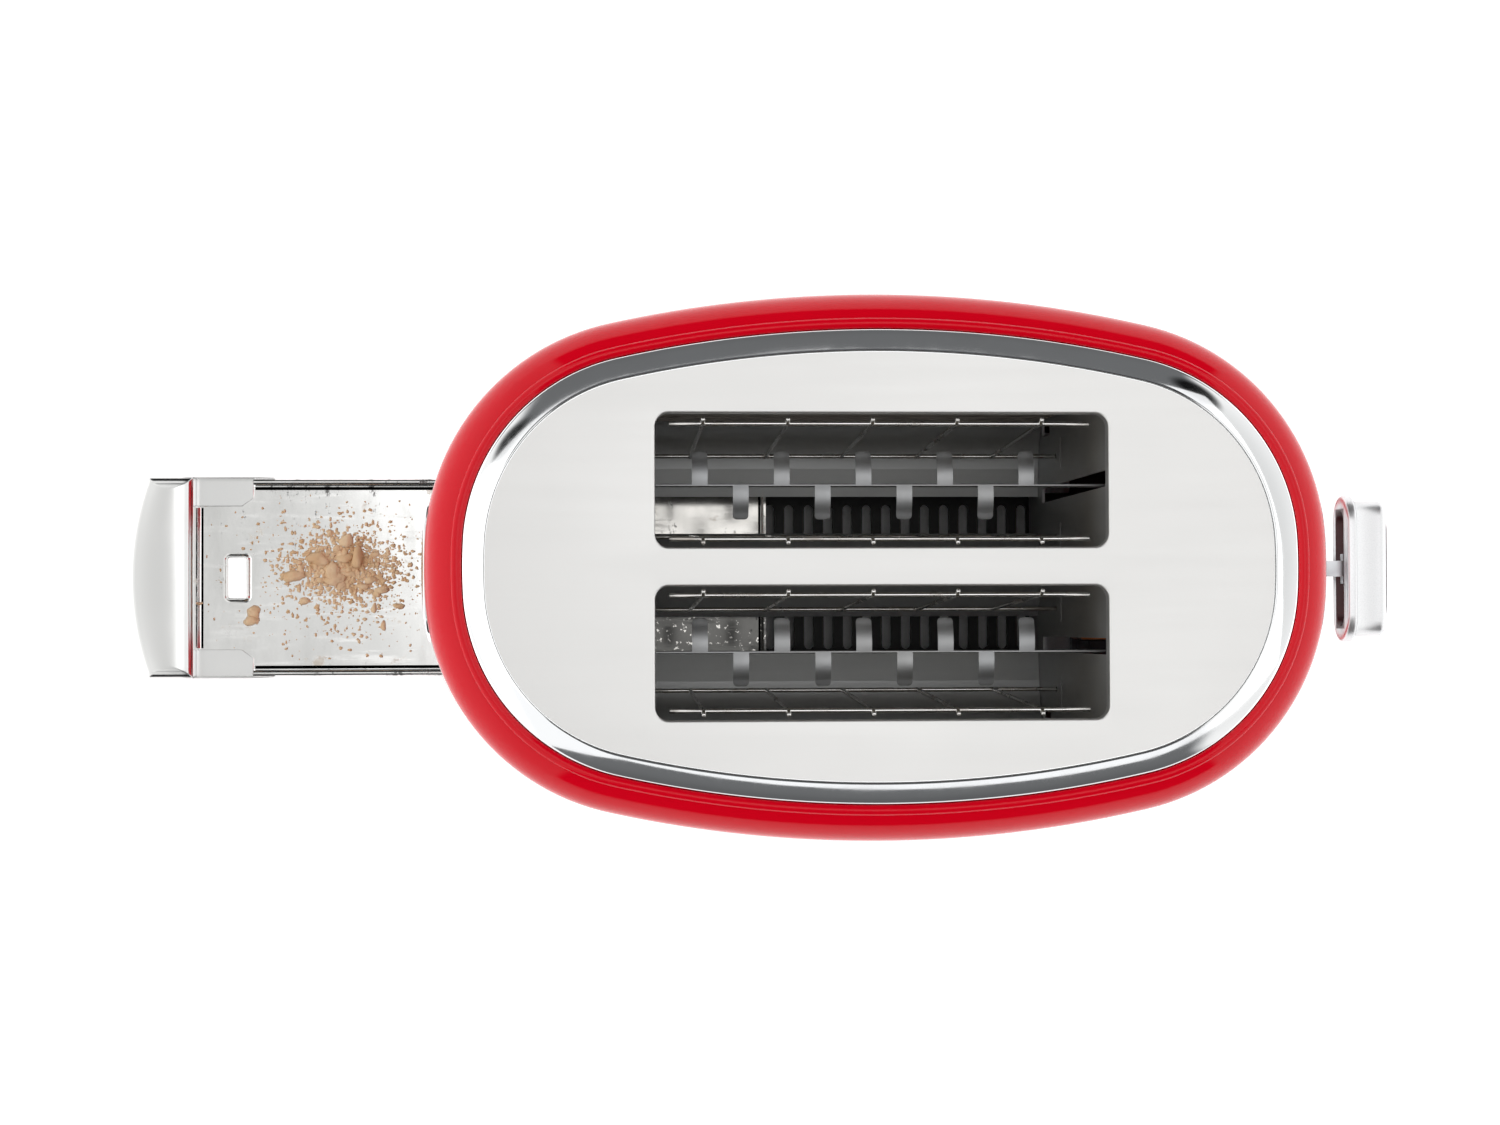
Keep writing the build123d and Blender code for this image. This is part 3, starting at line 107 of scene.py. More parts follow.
# %% Makers of meshes
def put(name, points, faces, body, slot, replaces=(), smooth=40):
    """A mesh object from points in mm and faces; faces with a repeated corner become triangles."""
    faces = np.asarray(faces)
    mesh = bpy.data.meshes.new(name)
    mesh.from_pydata((np.asarray(points) * MM).tolist(), [], [list(dict.fromkeys(f)) for f in faces.tolist()])
    mesh.polygons.foreach_set("use_smooth", np.ones(len(mesh.polygons), bool))
    mesh.set_sharp_from_angle(angle=np.radians(smooth))
    mesh.update()
    piece = bpy.data.objects.new(name, mesh)
    bpy.context.scene.collection.objects.link(piece)
    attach(piece, body)
    PAINT[name] = slot
    slot in SLOTS
    if replaces:
        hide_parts(*replaces)
    print(f"{name}: {len(mesh.vertices)} points, {len(mesh.polygons)} faces")
    return piece


def grid_faces(rows, columns, wrap_rows=False, wrap_columns=False):
    """Quads of a rows x columns grid: (i, j), (i, j+1), (i+1, j+1), (i+1, j)."""
    i = np.arange(rows if wrap_rows else rows - 1)[:, None]
    j = np.arange(columns if wrap_columns else columns - 1)[None, :]
    i2, j2 = (i + 1) % rows, (j + 1) % columns
    quads = np.stack([i * columns + j, i * columns + j2, i2 * columns + j2, i2 * columns + j], -1)
    return quads.reshape(-1, 4)


def facing(points, faces):
    """Point normals of a mesh: the sum of its faces' normals (diagonal cross diagonal)."""
    p = points[faces]
    n = np.cross(p[:, 2] - p[:, 0], p[:, -1] - p[:, 1])
    total = np.zeros_like(points)
    for corner in range(faces.shape[1]):
        np.add.at(total, faces[:, corner], n)
    return total / np.maximum(np.linalg.norm(total, axis=1, keepdims=True), 1e-12)


def give_wall(points, faces, wall):
    """Closed shell: the sheet, its copy pushed wall mm behind its normals, and border strips."""
    back = points - wall * facing(points, faces)
    count = len(points)
    sides = np.concatenate([np.stack([faces[:, k], np.roll(faces, -1, 1)[:, k]], 1)
                            for k in range(faces.shape[1])])
    sides = sides[sides[:, 0] != sides[:, 1]]
    key = np.sort(sides, 1)
    _, first, uses = np.unique(key, axis=0, return_index=True, return_counts=True)
    border = sides[first[uses == 1]]
    strip = np.stack([border[:, 1], border[:, 0], border[:, 0] + count, border[:, 1] + count], 1)
    if faces.shape[1] == 3:
        faces = np.concatenate([faces, faces[:, 2:]], 1)
    return np.concatenate([points, back]), np.concatenate([faces, faces[:, ::-1] + count, strip])


def out_faces(points, faces):
    """Faces turned outwards: a closed mesh's signed volume is positive."""
    p = points[faces]
    volume = (np.cross(p[:, 0], p[:, 1]) * p[:, 2]).sum() + (np.cross(p[:, 0], p[:, 2]) * p[:, 3]).sum()
    return points, faces if volume > 0 else faces[:, ::-1]


def join(parts):
    """One list of points and faces from several."""
    points, faces, start = [], [], 0
    for p, f in parts:
        points.append(p)
        faces.append(np.concatenate([f, f[:, 2:]], 1) + start if f.shape[1] == 3 else f + start)
        start += len(p)
    return np.concatenate(points), np.concatenate(faces)


print("a grid of 3 by 4 points has", len(grid_faces(3, 4)), "quads")

# %% [markdown]
# Wires, rods and the coil spring are tubes. A tube needs a frame that doesn't twist along its
# path: start with any vector across the first step and carry it on by removing what lies along
# each new step. Its ends are closed by pulling the last ring to a point, a little domed.

# %% Maker of tubes
def tube(path, radius, around=12):
    """Closed tube: ring points path + radius (cos a * side + sin a * up), with domed ends."""
    path = np.asarray(path, float)
    step = np.gradient(path, axis=0)
    step /= np.linalg.norm(step, axis=1, keepdims=True)
    side = np.empty_like(path)
    spare = np.array([0, 0, 1.0]) if abs(step[0, 2]) < 0.9 else np.array([1.0, 0, 0])
    for k in range(len(path)):
        spare = spare - spare.dot(step[k]) * step[k]
        spare /= np.linalg.norm(spare)
        side[k] = spare
    up = np.cross(step, side)
    turn = np.linspace(0, 2 * np.pi, around, endpoint=False)
    ring = np.cos(turn)[None, :, None] * side[:, None] + np.sin(turn)[None, :, None] * up[:, None]
    start = path[0] - step[0] * radius * 0.35 + 0 * ring[:1]
    stop = path[-1] + step[-1] * radius * 0.35 + 0 * ring[:1]
    shoulder_a = path[0] - step[0] * radius * 0.2 + ring[:1] * radius * 0.8
    shoulder_b = path[-1] + step[-1] * radius * 0.2 + ring[-1:] * radius * 0.8
    body = path[:, None] + ring * radius
    points = np.concatenate([start, shoulder_a, body, shoulder_b, stop])
    rows = len(points)
    faces = grid_faces(rows, around, wrap_columns=True)
    flat = points.reshape(-1, 3)
    merge = np.arange(len(flat))
    merge[:around] = 0
    merge[-around:] = len(flat) - around
    used, back = np.unique(merge, return_inverse=True)
    return flat[used], back[faces]


def straight(a, b, count=2):
    """Points evenly spaced from a to b."""
    return np.linspace(a, b, count)


print("a short tube has", len(tube(straight((0, 0, 0), (0, 0, 5)), 1.0)[0]), "points")

# %% [markdown]
# The body's plan is not an ellipse. Each quarter is a wide side arc, a tight corner arc and a
# flatter end arc that meet without a kink, so every parallel curve is the same arcs with other
# radii. A point of the plan and its outward normal are then all that is needed: a ring or skin
# is plan + offset * normal at some height.

# %% The plan curve
END_RADIUS, SIDE_RADIUS, CORNER_RADIUS = 150.0, 355.0, 57.8
BEZEL_GAP = 0.15
rim_x = high("top_bezel")[0] + BEZEL_GAP
rim_y = 69.9


def corner_centre():
    """Centre of the corner arc: its distances to the other two centres are radius differences."""
    end, side = np.array([rim_x - END_RADIUS, 0]), np.array([0, rim_y - SIDE_RADIUS])
    gap = np.linalg.norm(side - end)
    r_end, r_side = END_RADIUS - CORNER_RADIUS, SIDE_RADIUS - CORNER_RADIUS
    along = (r_end**2 - r_side**2 + gap**2) / (2 * gap)
    across = np.sqrt(r_end**2 - along**2)
    unit = (side - end) / gap
    return end + unit * along + np.array([-unit[1], unit[0]]) * across


corner = corner_centre()
turn_end = np.arctan2(corner[1], corner[0] - (rim_x - END_RADIUS))
turn_side = np.arctan2(corner[1] - (rim_y - SIDE_RADIUS), corner[0])


def plan(turn):
    """Point and outward normal of the plan where its normal points at an angle."""
    turn = np.asarray(turn)
    normal = np.stack([np.cos(turn), np.sin(turn)], -1)
    quarter = np.arctan2(np.abs(normal[:, 1]), np.abs(normal[:, 0]))
    sign = np.where(normal < 0, -1.0, 1.0)
    on_end, on_side = quarter <= turn_end, quarter >= turn_side
    radius = np.where(on_end, END_RADIUS, np.where(on_side, SIDE_RADIUS, CORNER_RADIUS))
    cx = np.where(on_end, rim_x - END_RADIUS, np.where(on_side, 0, corner[0]))
    cy = np.where(on_end, 0, np.where(on_side, rim_y - SIDE_RADIUS, corner[1]))
    centre = np.stack([cx, cy], -1) * sign
    return centre + normal * radius[:, None], normal


def even_turns(count, extra=()):
    """Normal angles that space the plan's points evenly by length, with some added."""
    fine = np.linspace(0, 2 * np.pi, 20001)
    p, _ = plan(fine)
    length = np.concatenate([[0], np.cumsum(np.linalg.norm(np.diff(p, axis=0), axis=1))])
    turns = np.interp(np.linspace(0, length[-1], count, endpoint=False), length, fine)
    return np.sort(np.concatenate([turns, np.asarray(extra, float)]))


def carry(profile, turns):
    """Grid of a profile (offset, height) carried round the plan: rows follow the profile."""
    p, n = plan(turns)
    offset, height = profile[:, 0][:, None, None], profile[:, 1][:, None]
    flat = p[None] + n[None] * offset
    return np.concatenate([flat, np.broadcast_to(height[..., None], flat.shape[:2] + (1,))], -1)


print("corner arc centre", np.round(corner, 2))

# %% [markdown]
# Profiles are drawn as corner points and then rounded, the way a press tool rounds a fold. Each
# corner is replaced by a short quadratic curve from a point before it to a point after it.

# %% Rounding a profile
def rounded(points, radius, steps=6, closed=False):
    """Polyline with each corner cut by a curve (1-s)^2 a + 2 s (1-s) corner + s^2 b."""
    points = np.asarray(points, float)
    radius = np.broadcast_to(radius, len(points))
    out = []
    s = np.linspace(0, 1, steps)[:, None]
    for k, corner_point in enumerate(points):
        before, after = points[k - 1], points[(k + 1) % len(points)]
        if not closed and k in (0, len(points) - 1) or radius[k] == 0:
            out.append(corner_point[None])
            continue
        to_a, to_b = before - corner_point, after - corner_point
        a = corner_point + to_a * min(0.49, radius[k] / np.linalg.norm(to_a))
        b = corner_point + to_b * min(0.49, radius[k] / np.linalg.norm(to_b))
        out.append((1 - s) ** 2 * a + 2 * s * (1 - s) * corner_point + s**2 * b)
    return np.concatenate(out)


def arc(centre, radius, start, stop, count):
    """Points of a circle between two angles."""
    turn = np.linspace(start, stop, count)
    return np.stack([centre[0] + radius * np.cos(turn), centre[1] + radius * np.sin(turn)], -1)


def circle_through(a, b, c):
    """Centre and radius of the circle through three points, from two perpendicular bisectors."""
    rows = 2 * np.array([b - a, c - a])
    centre = np.linalg.solve(rows, np.array([b @ b - a @ a, c @ c - a @ a]))
    return centre, np.linalg.norm(a - centre)


print("one rounded fold has", len(rounded([(0, 0), (4, 0), (4, 4)], 1.0)), "points")

# %% [markdown]
# Materials are written as sums and products. A thin class wraps a socket, and each operator adds
# the Math node that does it, so a mask reads like the formula it is. Every other node comes from
# one method that sets the node's own settings first and then feeds its sockets. Colours go
# through Mix, because a Math node would turn them grey.

# %% Shader arithmetic
class Number:
    """A socket that Python's operators work on."""

    def __init__(self, tree, socket):
        self.tree, self.socket = tree, socket

    def math(self, operation, *values):
        """One Math node that does the named operation on its values."""
        return self.tree.node("Math", {"operation": operation}, dict(enumerate(values)))

    def __add__(self, other):
        return self.math("ADD", self, other)

    def __sub__(self, other):
        return self.math("SUBTRACT", self, other)

    def __rsub__(self, other):
        return self.math("SUBTRACT", other, self)

    def __mul__(self, other):
        return self.math("MULTIPLY", self, other)

    def __truediv__(self, other):
        return self.math("DIVIDE", self, other)

    __radd__, __rmul__ = __add__, __mul__

    def size(self):
        """Distance from zero."""
        return self.math("ABSOLUTE", self)

    def above(self, edge, soft):
        """0 below edge - soft, 1 above edge + soft, smooth between."""
        return self.tree.node("MapRange", {"interpolation_type": "SMOOTHSTEP"},
                              {0: self, 1: edge - soft, 2: edge + soft, 3: 0.0, 4: 1.0})


class Tree:
    """A node tree with one method for any node, and short names for the common ones."""

    def __init__(self, owner):
        owner.use_nodes = True
        self.tree = owner.node_tree

    def node(self, kind, settings=None, inputs=None, output=0):
        """A node of a kind: its settings and ramp stops first, then its sockets' values or links."""
        made = self.tree.nodes.new("ShaderNode" + kind)
        for name, value in (settings or {}).items():
            if name == "stops":
                ramp = made.color_ramp
                while len(ramp.elements) < len(value):
                    ramp.elements.new(0.5)
                for element, (place, colour) in zip(ramp.elements, value):
                    element.position, element.color = place, (*colour, 1)
            else:
                setattr(made, name, value)
        for key, value in (inputs or {}).items():
            self.feed(made.inputs[key], value)
        return Number(self, made.outputs[output])

    def feed(self, socket, value):
        """Links a Number to a socket, or sets the socket's own colour or number."""
        if isinstance(value, Number):
            self.tree.links.new(value.socket, socket)
        elif isinstance(value, tuple) and len(value) == 3 and socket.type == "RGBA":
            socket.default_value = (*value, 1)
        else:
            socket.default_value = value

    def place(self, stretch=(1, 1, 1)):
        """Object coordinates in metres, stretched along each axis."""
        where = self.node("TexCoord", output=3)
        return self.node("Mapping", None, {0: where, 3: stretch})

    def axes(self):
        """The three object coordinates in metres, as numbers."""
        where = self.node("TexCoord", output=3)
        split = self.node("SeparateXYZ", None, {0: where})
        return [Number(self, split.socket.node.outputs[k]) for k in range(3)]

    def noise(self, scale, detail=3.0, rough=0.5, stretch=(1, 1, 1)):
        """Cloudy noise between 0 and 1 with scale patches to a metre."""
        return self.node("TexNoise", None, {"Vector": self.place(stretch), "Scale": scale,
                                            "Detail": detail, "Roughness": rough})

    def spots(self, scale):
        """Distance to the nearest of scattered points."""
        return self.node("TexVoronoi", None, {"Vector": self.place(), "Scale": scale})

    def blend(self, factor, a, b):
        """Colour a where factor is 0, colour b where it is 1."""
        return self.node("Mix", {"data_type": "RGBA"}, {0: factor, 6: a, 7: b}, output=2)

    def bump(self, height, depth):
        """Normal of a surface that rises by height * depth metres."""
        return self.node("Bump", None, {"Height": height, "Distance": depth, "Strength": 1.0})


FINISHES = {}


class Finish(Tree):
    """A material with a Principled shader. Constants are set on the shader's own sockets."""

    def __init__(self, name, **constants):
        self.material = bpy.data.materials.new(name)
        super().__init__(self.material)
        self.shader = self.tree.nodes["Principled BSDF"]
        for socket, value in constants.items():
            self.set(socket, value)
        FINISHES[name] = self.material

    def set(self, socket, value):
        """Feeds one of the shader's inputs, with _ for a space in its name."""
        self.feed(self.shader.inputs[socket.replace("_", " ")], value)


def lerp(mask, a, b):
    """Number a where mask is 0 and b where it is 1."""
    return mask * (b - a) + a


print("shader arithmetic ready")

# %% [markdown]
# The skin is one pressed sheet: a flange under the ring, a small rolled ridge, a round shoulder
# and a side that bulges a little. Subdivision of a rough cage would lose the measured radii, so
# the section is computed from its circles and carried round the plan. Rows sit exactly at the
# cuts' heights, and cells inside a cut are left out before the wall is added.

# %% Body skin
BULGE, SHOULDER, FOOT = np.array([13.8, 95.0]), np.array([11.6, plate_z - 12.1]), np.array([11, 14.0])
bulge_centre, bulge_radius = circle_through(SHOULDER, BULGE, FOOT)


def skin_offset(z):
    """How far the skin stands outside the rim plan at a height, below the shoulder."""
    return bulge_centre[0] + np.sqrt(bulge_radius**2 - (z - bulge_centre[1]) ** 2)


def skin_profile():
    """Outer section from the flange to the foot, as (offset, height)."""
    turn = np.arctan2(*(SHOULDER - bulge_centre)[::-1])
    centre = SHOULDER - 16.6 * np.array([np.cos(turn), np.sin(turn)])
    ridge_turn = np.arccos((3.1 - centre[0]) / 16.6)
    ridge_end = centre + 16.6 * np.array([np.cos(ridge_turn), np.sin(ridge_turn)])
    crown, crown_radius = circle_through(np.array([0, plate_z + 1.9]), np.array([1.9, plate_z + 3.3]),
                                         ridge_end)
    first = np.arctan2(plate_z + 1.9 - crown[1], -crown[0])
    last = np.arctan2(*(ridge_end - crown)[::-1])
    ridge = arc(crown, crown_radius, first, last, 16)
    inside = rounded([(-3, plate_z - 0.8), (0, plate_z - 0.8), (0, plate_z + 1.5)], 0.4, 4)
    side = np.unique(np.concatenate([np.linspace(14, SHOULDER[1], 30)[1:], [26.5, 32, 40, 53, 61, 66, 152]]))
    side = np.stack([skin_offset(side), side], -1)[::-1][1:]
    foot = rounded([(skin_offset(15.2), 15.2), FOOT, FOOT - [1.2, 0]], 0.5, 4)[:-1]
    return np.concatenate([inside, ridge, arc(centre, 16.6, ridge_turn, turn, 26)[1:], side, foot])


profile = skin_profile()
edges_y = np.array([3.9, 4.2, 18.2, 36.7])
edge_turns = np.where(edges_y < corner[1], np.arcsin(edges_y / (END_RADIUS + 12)),
                      np.arcsin(np.clip((edges_y - corner[1]) / (CORNER_RADIUS + 12), 0, 1)))
edge_turns = np.concatenate([edge_turns, -edge_turns, np.pi - edge_turns, np.pi + edge_turns]) % (2 * np.pi)
turns = even_turns(240, edge_turns)
skin = carry(profile, turns)
faces = grid_faces(len(profile), len(turns), wrap_columns=True)
middle = skin.reshape(-1, 3)[faces].mean(1)
x, y, z = middle.T


def cut(sign, half, low_z, high_z):
    """Faces of one end whose middle lies inside a cut."""
    return (x * sign > 100) & (abs(y) < half) & (z > low_z) & (z < high_z)


gone = cut(-1, 36.7, 0, 26.5) | cut(1, 4.2, 66, 152) | cut(1, 18.2, 53, 61) | cut(1, 3.9, 32, 40)
flat = skin.reshape(-1, 3)
kept, renamed = np.unique(faces[~gone], return_inverse=True)
flat, faces = flat[kept], renamed.reshape(-1, 4)
if (facing(flat, faces) * flat).sum() < 0:
    faces = faces[:, ::-1]
put("body_skin", *give_wall(flat, faces, 1.15), "root", "red_enamel", ["body_shell"], 35)

# %% [markdown]
# The bright ring is a shallow dish between the ridge and the plate. It mirrors whatever is
# opposite, so its slope matters more than its colour. Its section is a closed loop with small
# rounds, because a knife edge on polished metal never catches the light.

# %% Polished ring
outer, inner = (-BEZEL_GAP, plate_z + 2.0), (-6.4, plate_z + 0.3)
dish_mid = ((outer[0] + inner[0]) / 2, (outer[1] + inner[1]) / 2 - 0.10)
dish_centre, dish_radius = circle_through(np.array(inner), np.array(dish_mid), np.array(outer))
dish_turns = [np.arctan2(p[1] - dish_centre[1], p[0] - dish_centre[0]) for p in (outer, inner)]
dish = arc(dish_centre, dish_radius, dish_turns[0], dish_turns[1], 10)
under = [(-6.4, plate_z - 0.8), (-9.0, plate_z - 0.8), (-9.0, plate_z - 2.0), (-3.3, plate_z - 2.0),
         (-3.3, plate_z - 0.8), (-BEZEL_GAP, plate_z - 0.8)]
section = np.concatenate([dish, under])
rounds = np.concatenate([[0.5], np.zeros(8), [0.4], np.full(6, 0.12)])
section = rounded(section, rounds, 5, closed=True)
turns = even_turns(300)
ring = carry(section, turns)
put("polished_ring", *out_faces(ring.reshape(-1, 3), grid_faces(len(section), len(turns), True, True)),
    "root", "polished_chrome", ["top_bezel"], 30)

# %% [markdown]
# The slotted plate is flat, with two long openings whose edges roll down into short lips. A flat
# face with holes is a job for a constrained Delaunay triangulation: it gets the outline and the
# two slots as edges that must exist. Each lip is a grid that starts on the same slot points, so
# the two share their points and the roll has no seam.

# %% Slotted plate
def oval(half_x, half_y, corner_radius, count=48, centre=(0, 0)):
    """Rounded rectangle with the same number of points on each corner, as (x, y)."""
    turn = np.linspace(0, 2 * np.pi, count, endpoint=False) + np.pi / count
    quarter = np.stack([np.sign(np.cos(turn)), np.sign(np.sin(turn))], -1)
    start = quarter * [half_x - corner_radius, half_y - corner_radius]
    return start + corner_radius * np.stack([np.cos(turn), np.sin(turn)], -1) + centre


def sheet_of(loops, holes, extra=()):
    """Flat triangles between an outer loop and holes: 2-D points and faces, counter-clockwise."""
    loops = [loops] + list(holes)
    points = np.concatenate(loops + ([np.asarray(extra)] if len(extra) else []))
    edges, start = [], 0
    for loop in loops:
        index = start + np.arange(len(loop))
        edges.append(np.stack([index, np.roll(index, -1)], 1))
        start += len(loop)
    out = delaunay_2d_cdt([Vector(p) for p in points], np.concatenate(edges).tolist(), [], 0, 1e-4)
    flat, triangles = np.array([tuple(p) for p in out[0]]), np.array(out[2])
    inside = crossings(flat[triangles].mean(1), loops[0]) % 2 == 1
    for hole in loops[1:]:
        inside &= crossings(flat[triangles].mean(1), hole) % 2 == 0
    return flat, triangles[inside]


def crossings(points, loop):
    """How many of the loop's edges a ray from each point towards +x crosses."""
    a, b = loop, np.roll(loop, -1, 0)
    px, py = points[:, :1], points[:, 1:]
    spans = (a[None, :, 1] > py) != (b[None, :, 1] > py)
    rise = np.where(b[:, 1] == a[:, 1], 1, b[:, 1] - a[:, 1])
    at = a[None, :, 0] + (py - a[None, :, 1]) / rise[None] * (b - a)[None, :, 0]
    return (spans & (at > px)).sum(1)


def weld(parts):
    """Joined parts with points closer than a micrometre merged."""
    points, faces = join(parts)
    _, first, back = np.unique(np.round(points, 3), axis=0, return_index=True, return_inverse=True)
    return points[first], back.reshape(-1)[faces]


SLOT_YS = (-25.4, 25.4)
p, n = plan(even_turns(200))
rim = p + n * -6.7
ROLL = 0.64
lip_profile = [(ROLL, 0.0)] + [(ROLL * (1 - np.sin(a)), -ROLL * (1 - np.cos(a)))
                               for a in np.linspace(0, np.pi / 2, 8)[1:]] + [(0, -3.0), (0, -5.0)]
plate_parts = []
wide = [oval(67 + ROLL, 19.7 + ROLL, 4 + ROLL, 64, (0, y0)) for y0 in SLOT_YS]
grown = np.stack(np.meshgrid(np.linspace(-110, 110, 23), [-60, -50, 0, 50, 60]), -1).reshape(-1, 2)
flat, triangles = sheet_of(rim, wide, grown[crossings(grown, rim * 0.97) % 2 == 1])
plate_parts.append((np.column_stack([flat, np.full(len(flat), plate_z)]), triangles))
for y0 in SLOT_YS:
    rows = [np.column_stack([oval(67 + t, 19.7 + t, 4 + t, 64, (0, y0)), np.full(64, plate_z + h)])
            for t, h in lip_profile]
    plate_parts.append((np.concatenate(rows), grid_faces(len(rows), 64, wrap_columns=True)))
points, faces = weld(plate_parts)
if facing(points, faces)[:, 2].sum() < 0:
    faces = faces[:, ::-1]
put("slotted_plate", *give_wall(points, faces, 0.75), "root", "satin_plate", ["top_plate"], 30)

# %% [markdown]
# The two end panels are shallow pressed covers that follow the skin. Their height above the
# middle is a function of where they are across and up, x = f(y, z), so the shape is drawn flat,
# with its holes, and then laid on the skin. Points of the flat mesh near the rim drop back by a
# quarter circle, which rounds the edge without any bevel.

# %% End panels
def skin_x(y, z):
    """Distance of the skin from the middle plane x = 0, at y across and z up."""
    t = skin_offset(z)
    near = np.abs(y) <= (END_RADIUS + t) * np.sin(turn_end)
    end = rim_x - END_RADIUS + np.sqrt((END_RADIUS + t) ** 2 - y**2)
    bend = corner[0] + np.sqrt((CORNER_RADIUS + t) ** 2 - (np.abs(y) - corner[1]) ** 2)
    return np.where(near, end, bend)


def loop_inset(centre, half, corner_radius, inset, count):
    """Rounded rectangle drawn in by inset all round; its corners stay at least 0.3 mm round."""
    return oval(half[0] - inset, half[1] - inset, max(corner_radius - inset, 0.3), count, centre)


def end_panel(name, node, sign, low_z, high_z, holes):
    """Cover on the skin: flat sheet inside the rim's round, two rings for the round, and a back."""
    centre, half = np.array([0, (low_z + high_z) / 2]), np.array([22.0, (high_z - low_z) / 2])
    lift = 0.98
    rim_loop = loop_inset(centre, half, 9.0, 0.6, 96)
    grid = np.stack(np.meshgrid(np.linspace(-19, 19, 9), np.arange(low_z + 4, high_z - 3, 5)), -1)
    grid = grid.reshape(-1, 2)
    keep = crossings(grid, loop_inset(centre, half, 9.0, 2.0, 96)) % 2 == 1
    for hole in holes:
        away = (hole - hole.mean(0)) * 1.25 + hole.mean(0)
        keep &= crossings(grid, away) % 2 == 0
    flat, triangles = sheet_of(rim_loop, holes, grid[keep])
    parts = [(np.column_stack([np.full(len(flat), lift), flat]), triangles)]
    steps = [(0.6 * (1 - np.sin(a)), lift - 0.6 * (1 - np.cos(a))) for a in np.linspace(0, np.pi / 2, 5)]
    steps += [(0.0, 0.05)]
    rows = [np.column_stack([np.full(96, h), loop_inset(centre, half, 9.0, t, 96)]) for t, h in steps]
    parts.append((np.concatenate(rows), grid_faces(len(rows), 96, wrap_columns=True)[:, ::-1]))
    points, faces = weld(parts)
    if facing(points, faces)[:, 0].sum() < 0:
        faces = faces[:, ::-1]
    points, faces = give_wall(points, faces, 0.45)
    points[:, 0] = np.maximum(points[:, 0], 0.03) + skin_x(points[:, 1], points[:, 2])
    points[:, 0] *= sign
    return put(name, points, faces if sign > 0 else faces[:, ::-1], "root", "polished_chrome", [node], 35)


def slot_loop(half_width, low_z, high_z):
    """Upright slot with round ends: an oval whose corner radius is nearly its half width."""
    return oval(half_width, (high_z - low_z) / 2, half_width - 0.01, 32, (0, (high_z + low_z) / 2))


button_ys = (-13.0, 0.0, 13.0)
panel_holes = [slot_loop(3.2, 68, 150), oval(4, 4, 3.99, 32, (0, 36))]
panel_holes += [oval(5.2, 3.9, 1.9, 32, (y0, 57)) for y0 in button_ys]
end_panel("control_cover", "control_panel", 1, 22, 166, panel_holes)
end_panel("rear_cover", "rear_trim", -1, 34, 166, [])

# %% [markdown]
# The knob, the dial and the buttons are mouldings. Each is a stack of loops: a loop is an oval
# at some depth, and the stack goes from the middle of the front face, over the rounded edge,
# down the side and back into the hollow. One point closes each end of the stack.

# %% Moulded controls
def stack(rows, count):
    """Closed surface through loops of equal point counts, each end drawn to its middle."""
    rows = [np.repeat(rows[0].mean(0)[None], count, 0), *rows, np.repeat(rows[-1].mean(0)[None], count, 0)]
    points = np.concatenate(rows)
    faces = grid_faces(len(rows), count, wrap_columns=True)
    merge = np.arange(len(points))
    merge[:count] = 0
    merge[-count:] = len(points) - count
    used, back = np.unique(merge, return_inverse=True)
    return points[used], back.reshape(-1)[faces]


def quarter_round(radius, steps=6):
    """(inset, drop) pairs of a rounded edge, from the face to the side."""
    a = np.linspace(0, np.pi / 2, steps)
    return np.stack([radius * (1 - np.sin(a)), radius * (1 - np.cos(a))], -1)


knob_low, knob_high = low("lever_knob"), high("lever_knob")
lever_z, knob_back, knob_front = (knob_low[2] + knob_high[2]) / 2, knob_low[0], knob_high[0]


def knob_loop(depth, half_y, half_z, corner_radius):
    """Rounded rectangle across the lever's axis, at x = depth."""
    flat = oval(half_y, half_z, corner_radius, 96, (0, lever_z))
    return np.column_stack([np.full(96, depth), flat])


rows = [knob_loop(knob_front, *(np.array([21.2, 6.7, 5.0]) * s)) for s in (0.25, 0.5, 0.75)]
rows += [knob_loop(knob_front - d, 21.2 - t, 6.7 - t, 5.0 - t * 0.5) for t, d in quarter_round(2.6, 8)]
flange_front = knob_back + 3.4
rows += [knob_loop(flange_front + 0.5, 21.2, 6.7, 5.0), knob_loop(flange_front, 21.7, 7.2, 5.4)]
rows += [knob_loop(flange_front - d, 23.0 - t, 8.75 - t, 8.7 - t) for t, d in quarter_round(1.0, 5)]
rows += [knob_loop(knob_back + d, 23.0 - t, 8.75 - t, 8.7 - t) for t, d in quarter_round(1.0, 5)[::-1]]
rows += [knob_loop(knob_back, 18.4, 4.7, 4.6), knob_loop(knob_back + 0.4, 18.0, 4.3, 4.25)]
rows += [knob_loop(knob_back + 9.0, 18.0, 4.3, 4.25), knob_loop(knob_back + 9.5, 17.5, 3.8, 3.7)]
put("lever_grip", *out_faces(*stack(rows, 96)), "carriage", "silver_plastic", ["lever_knob"], 50)

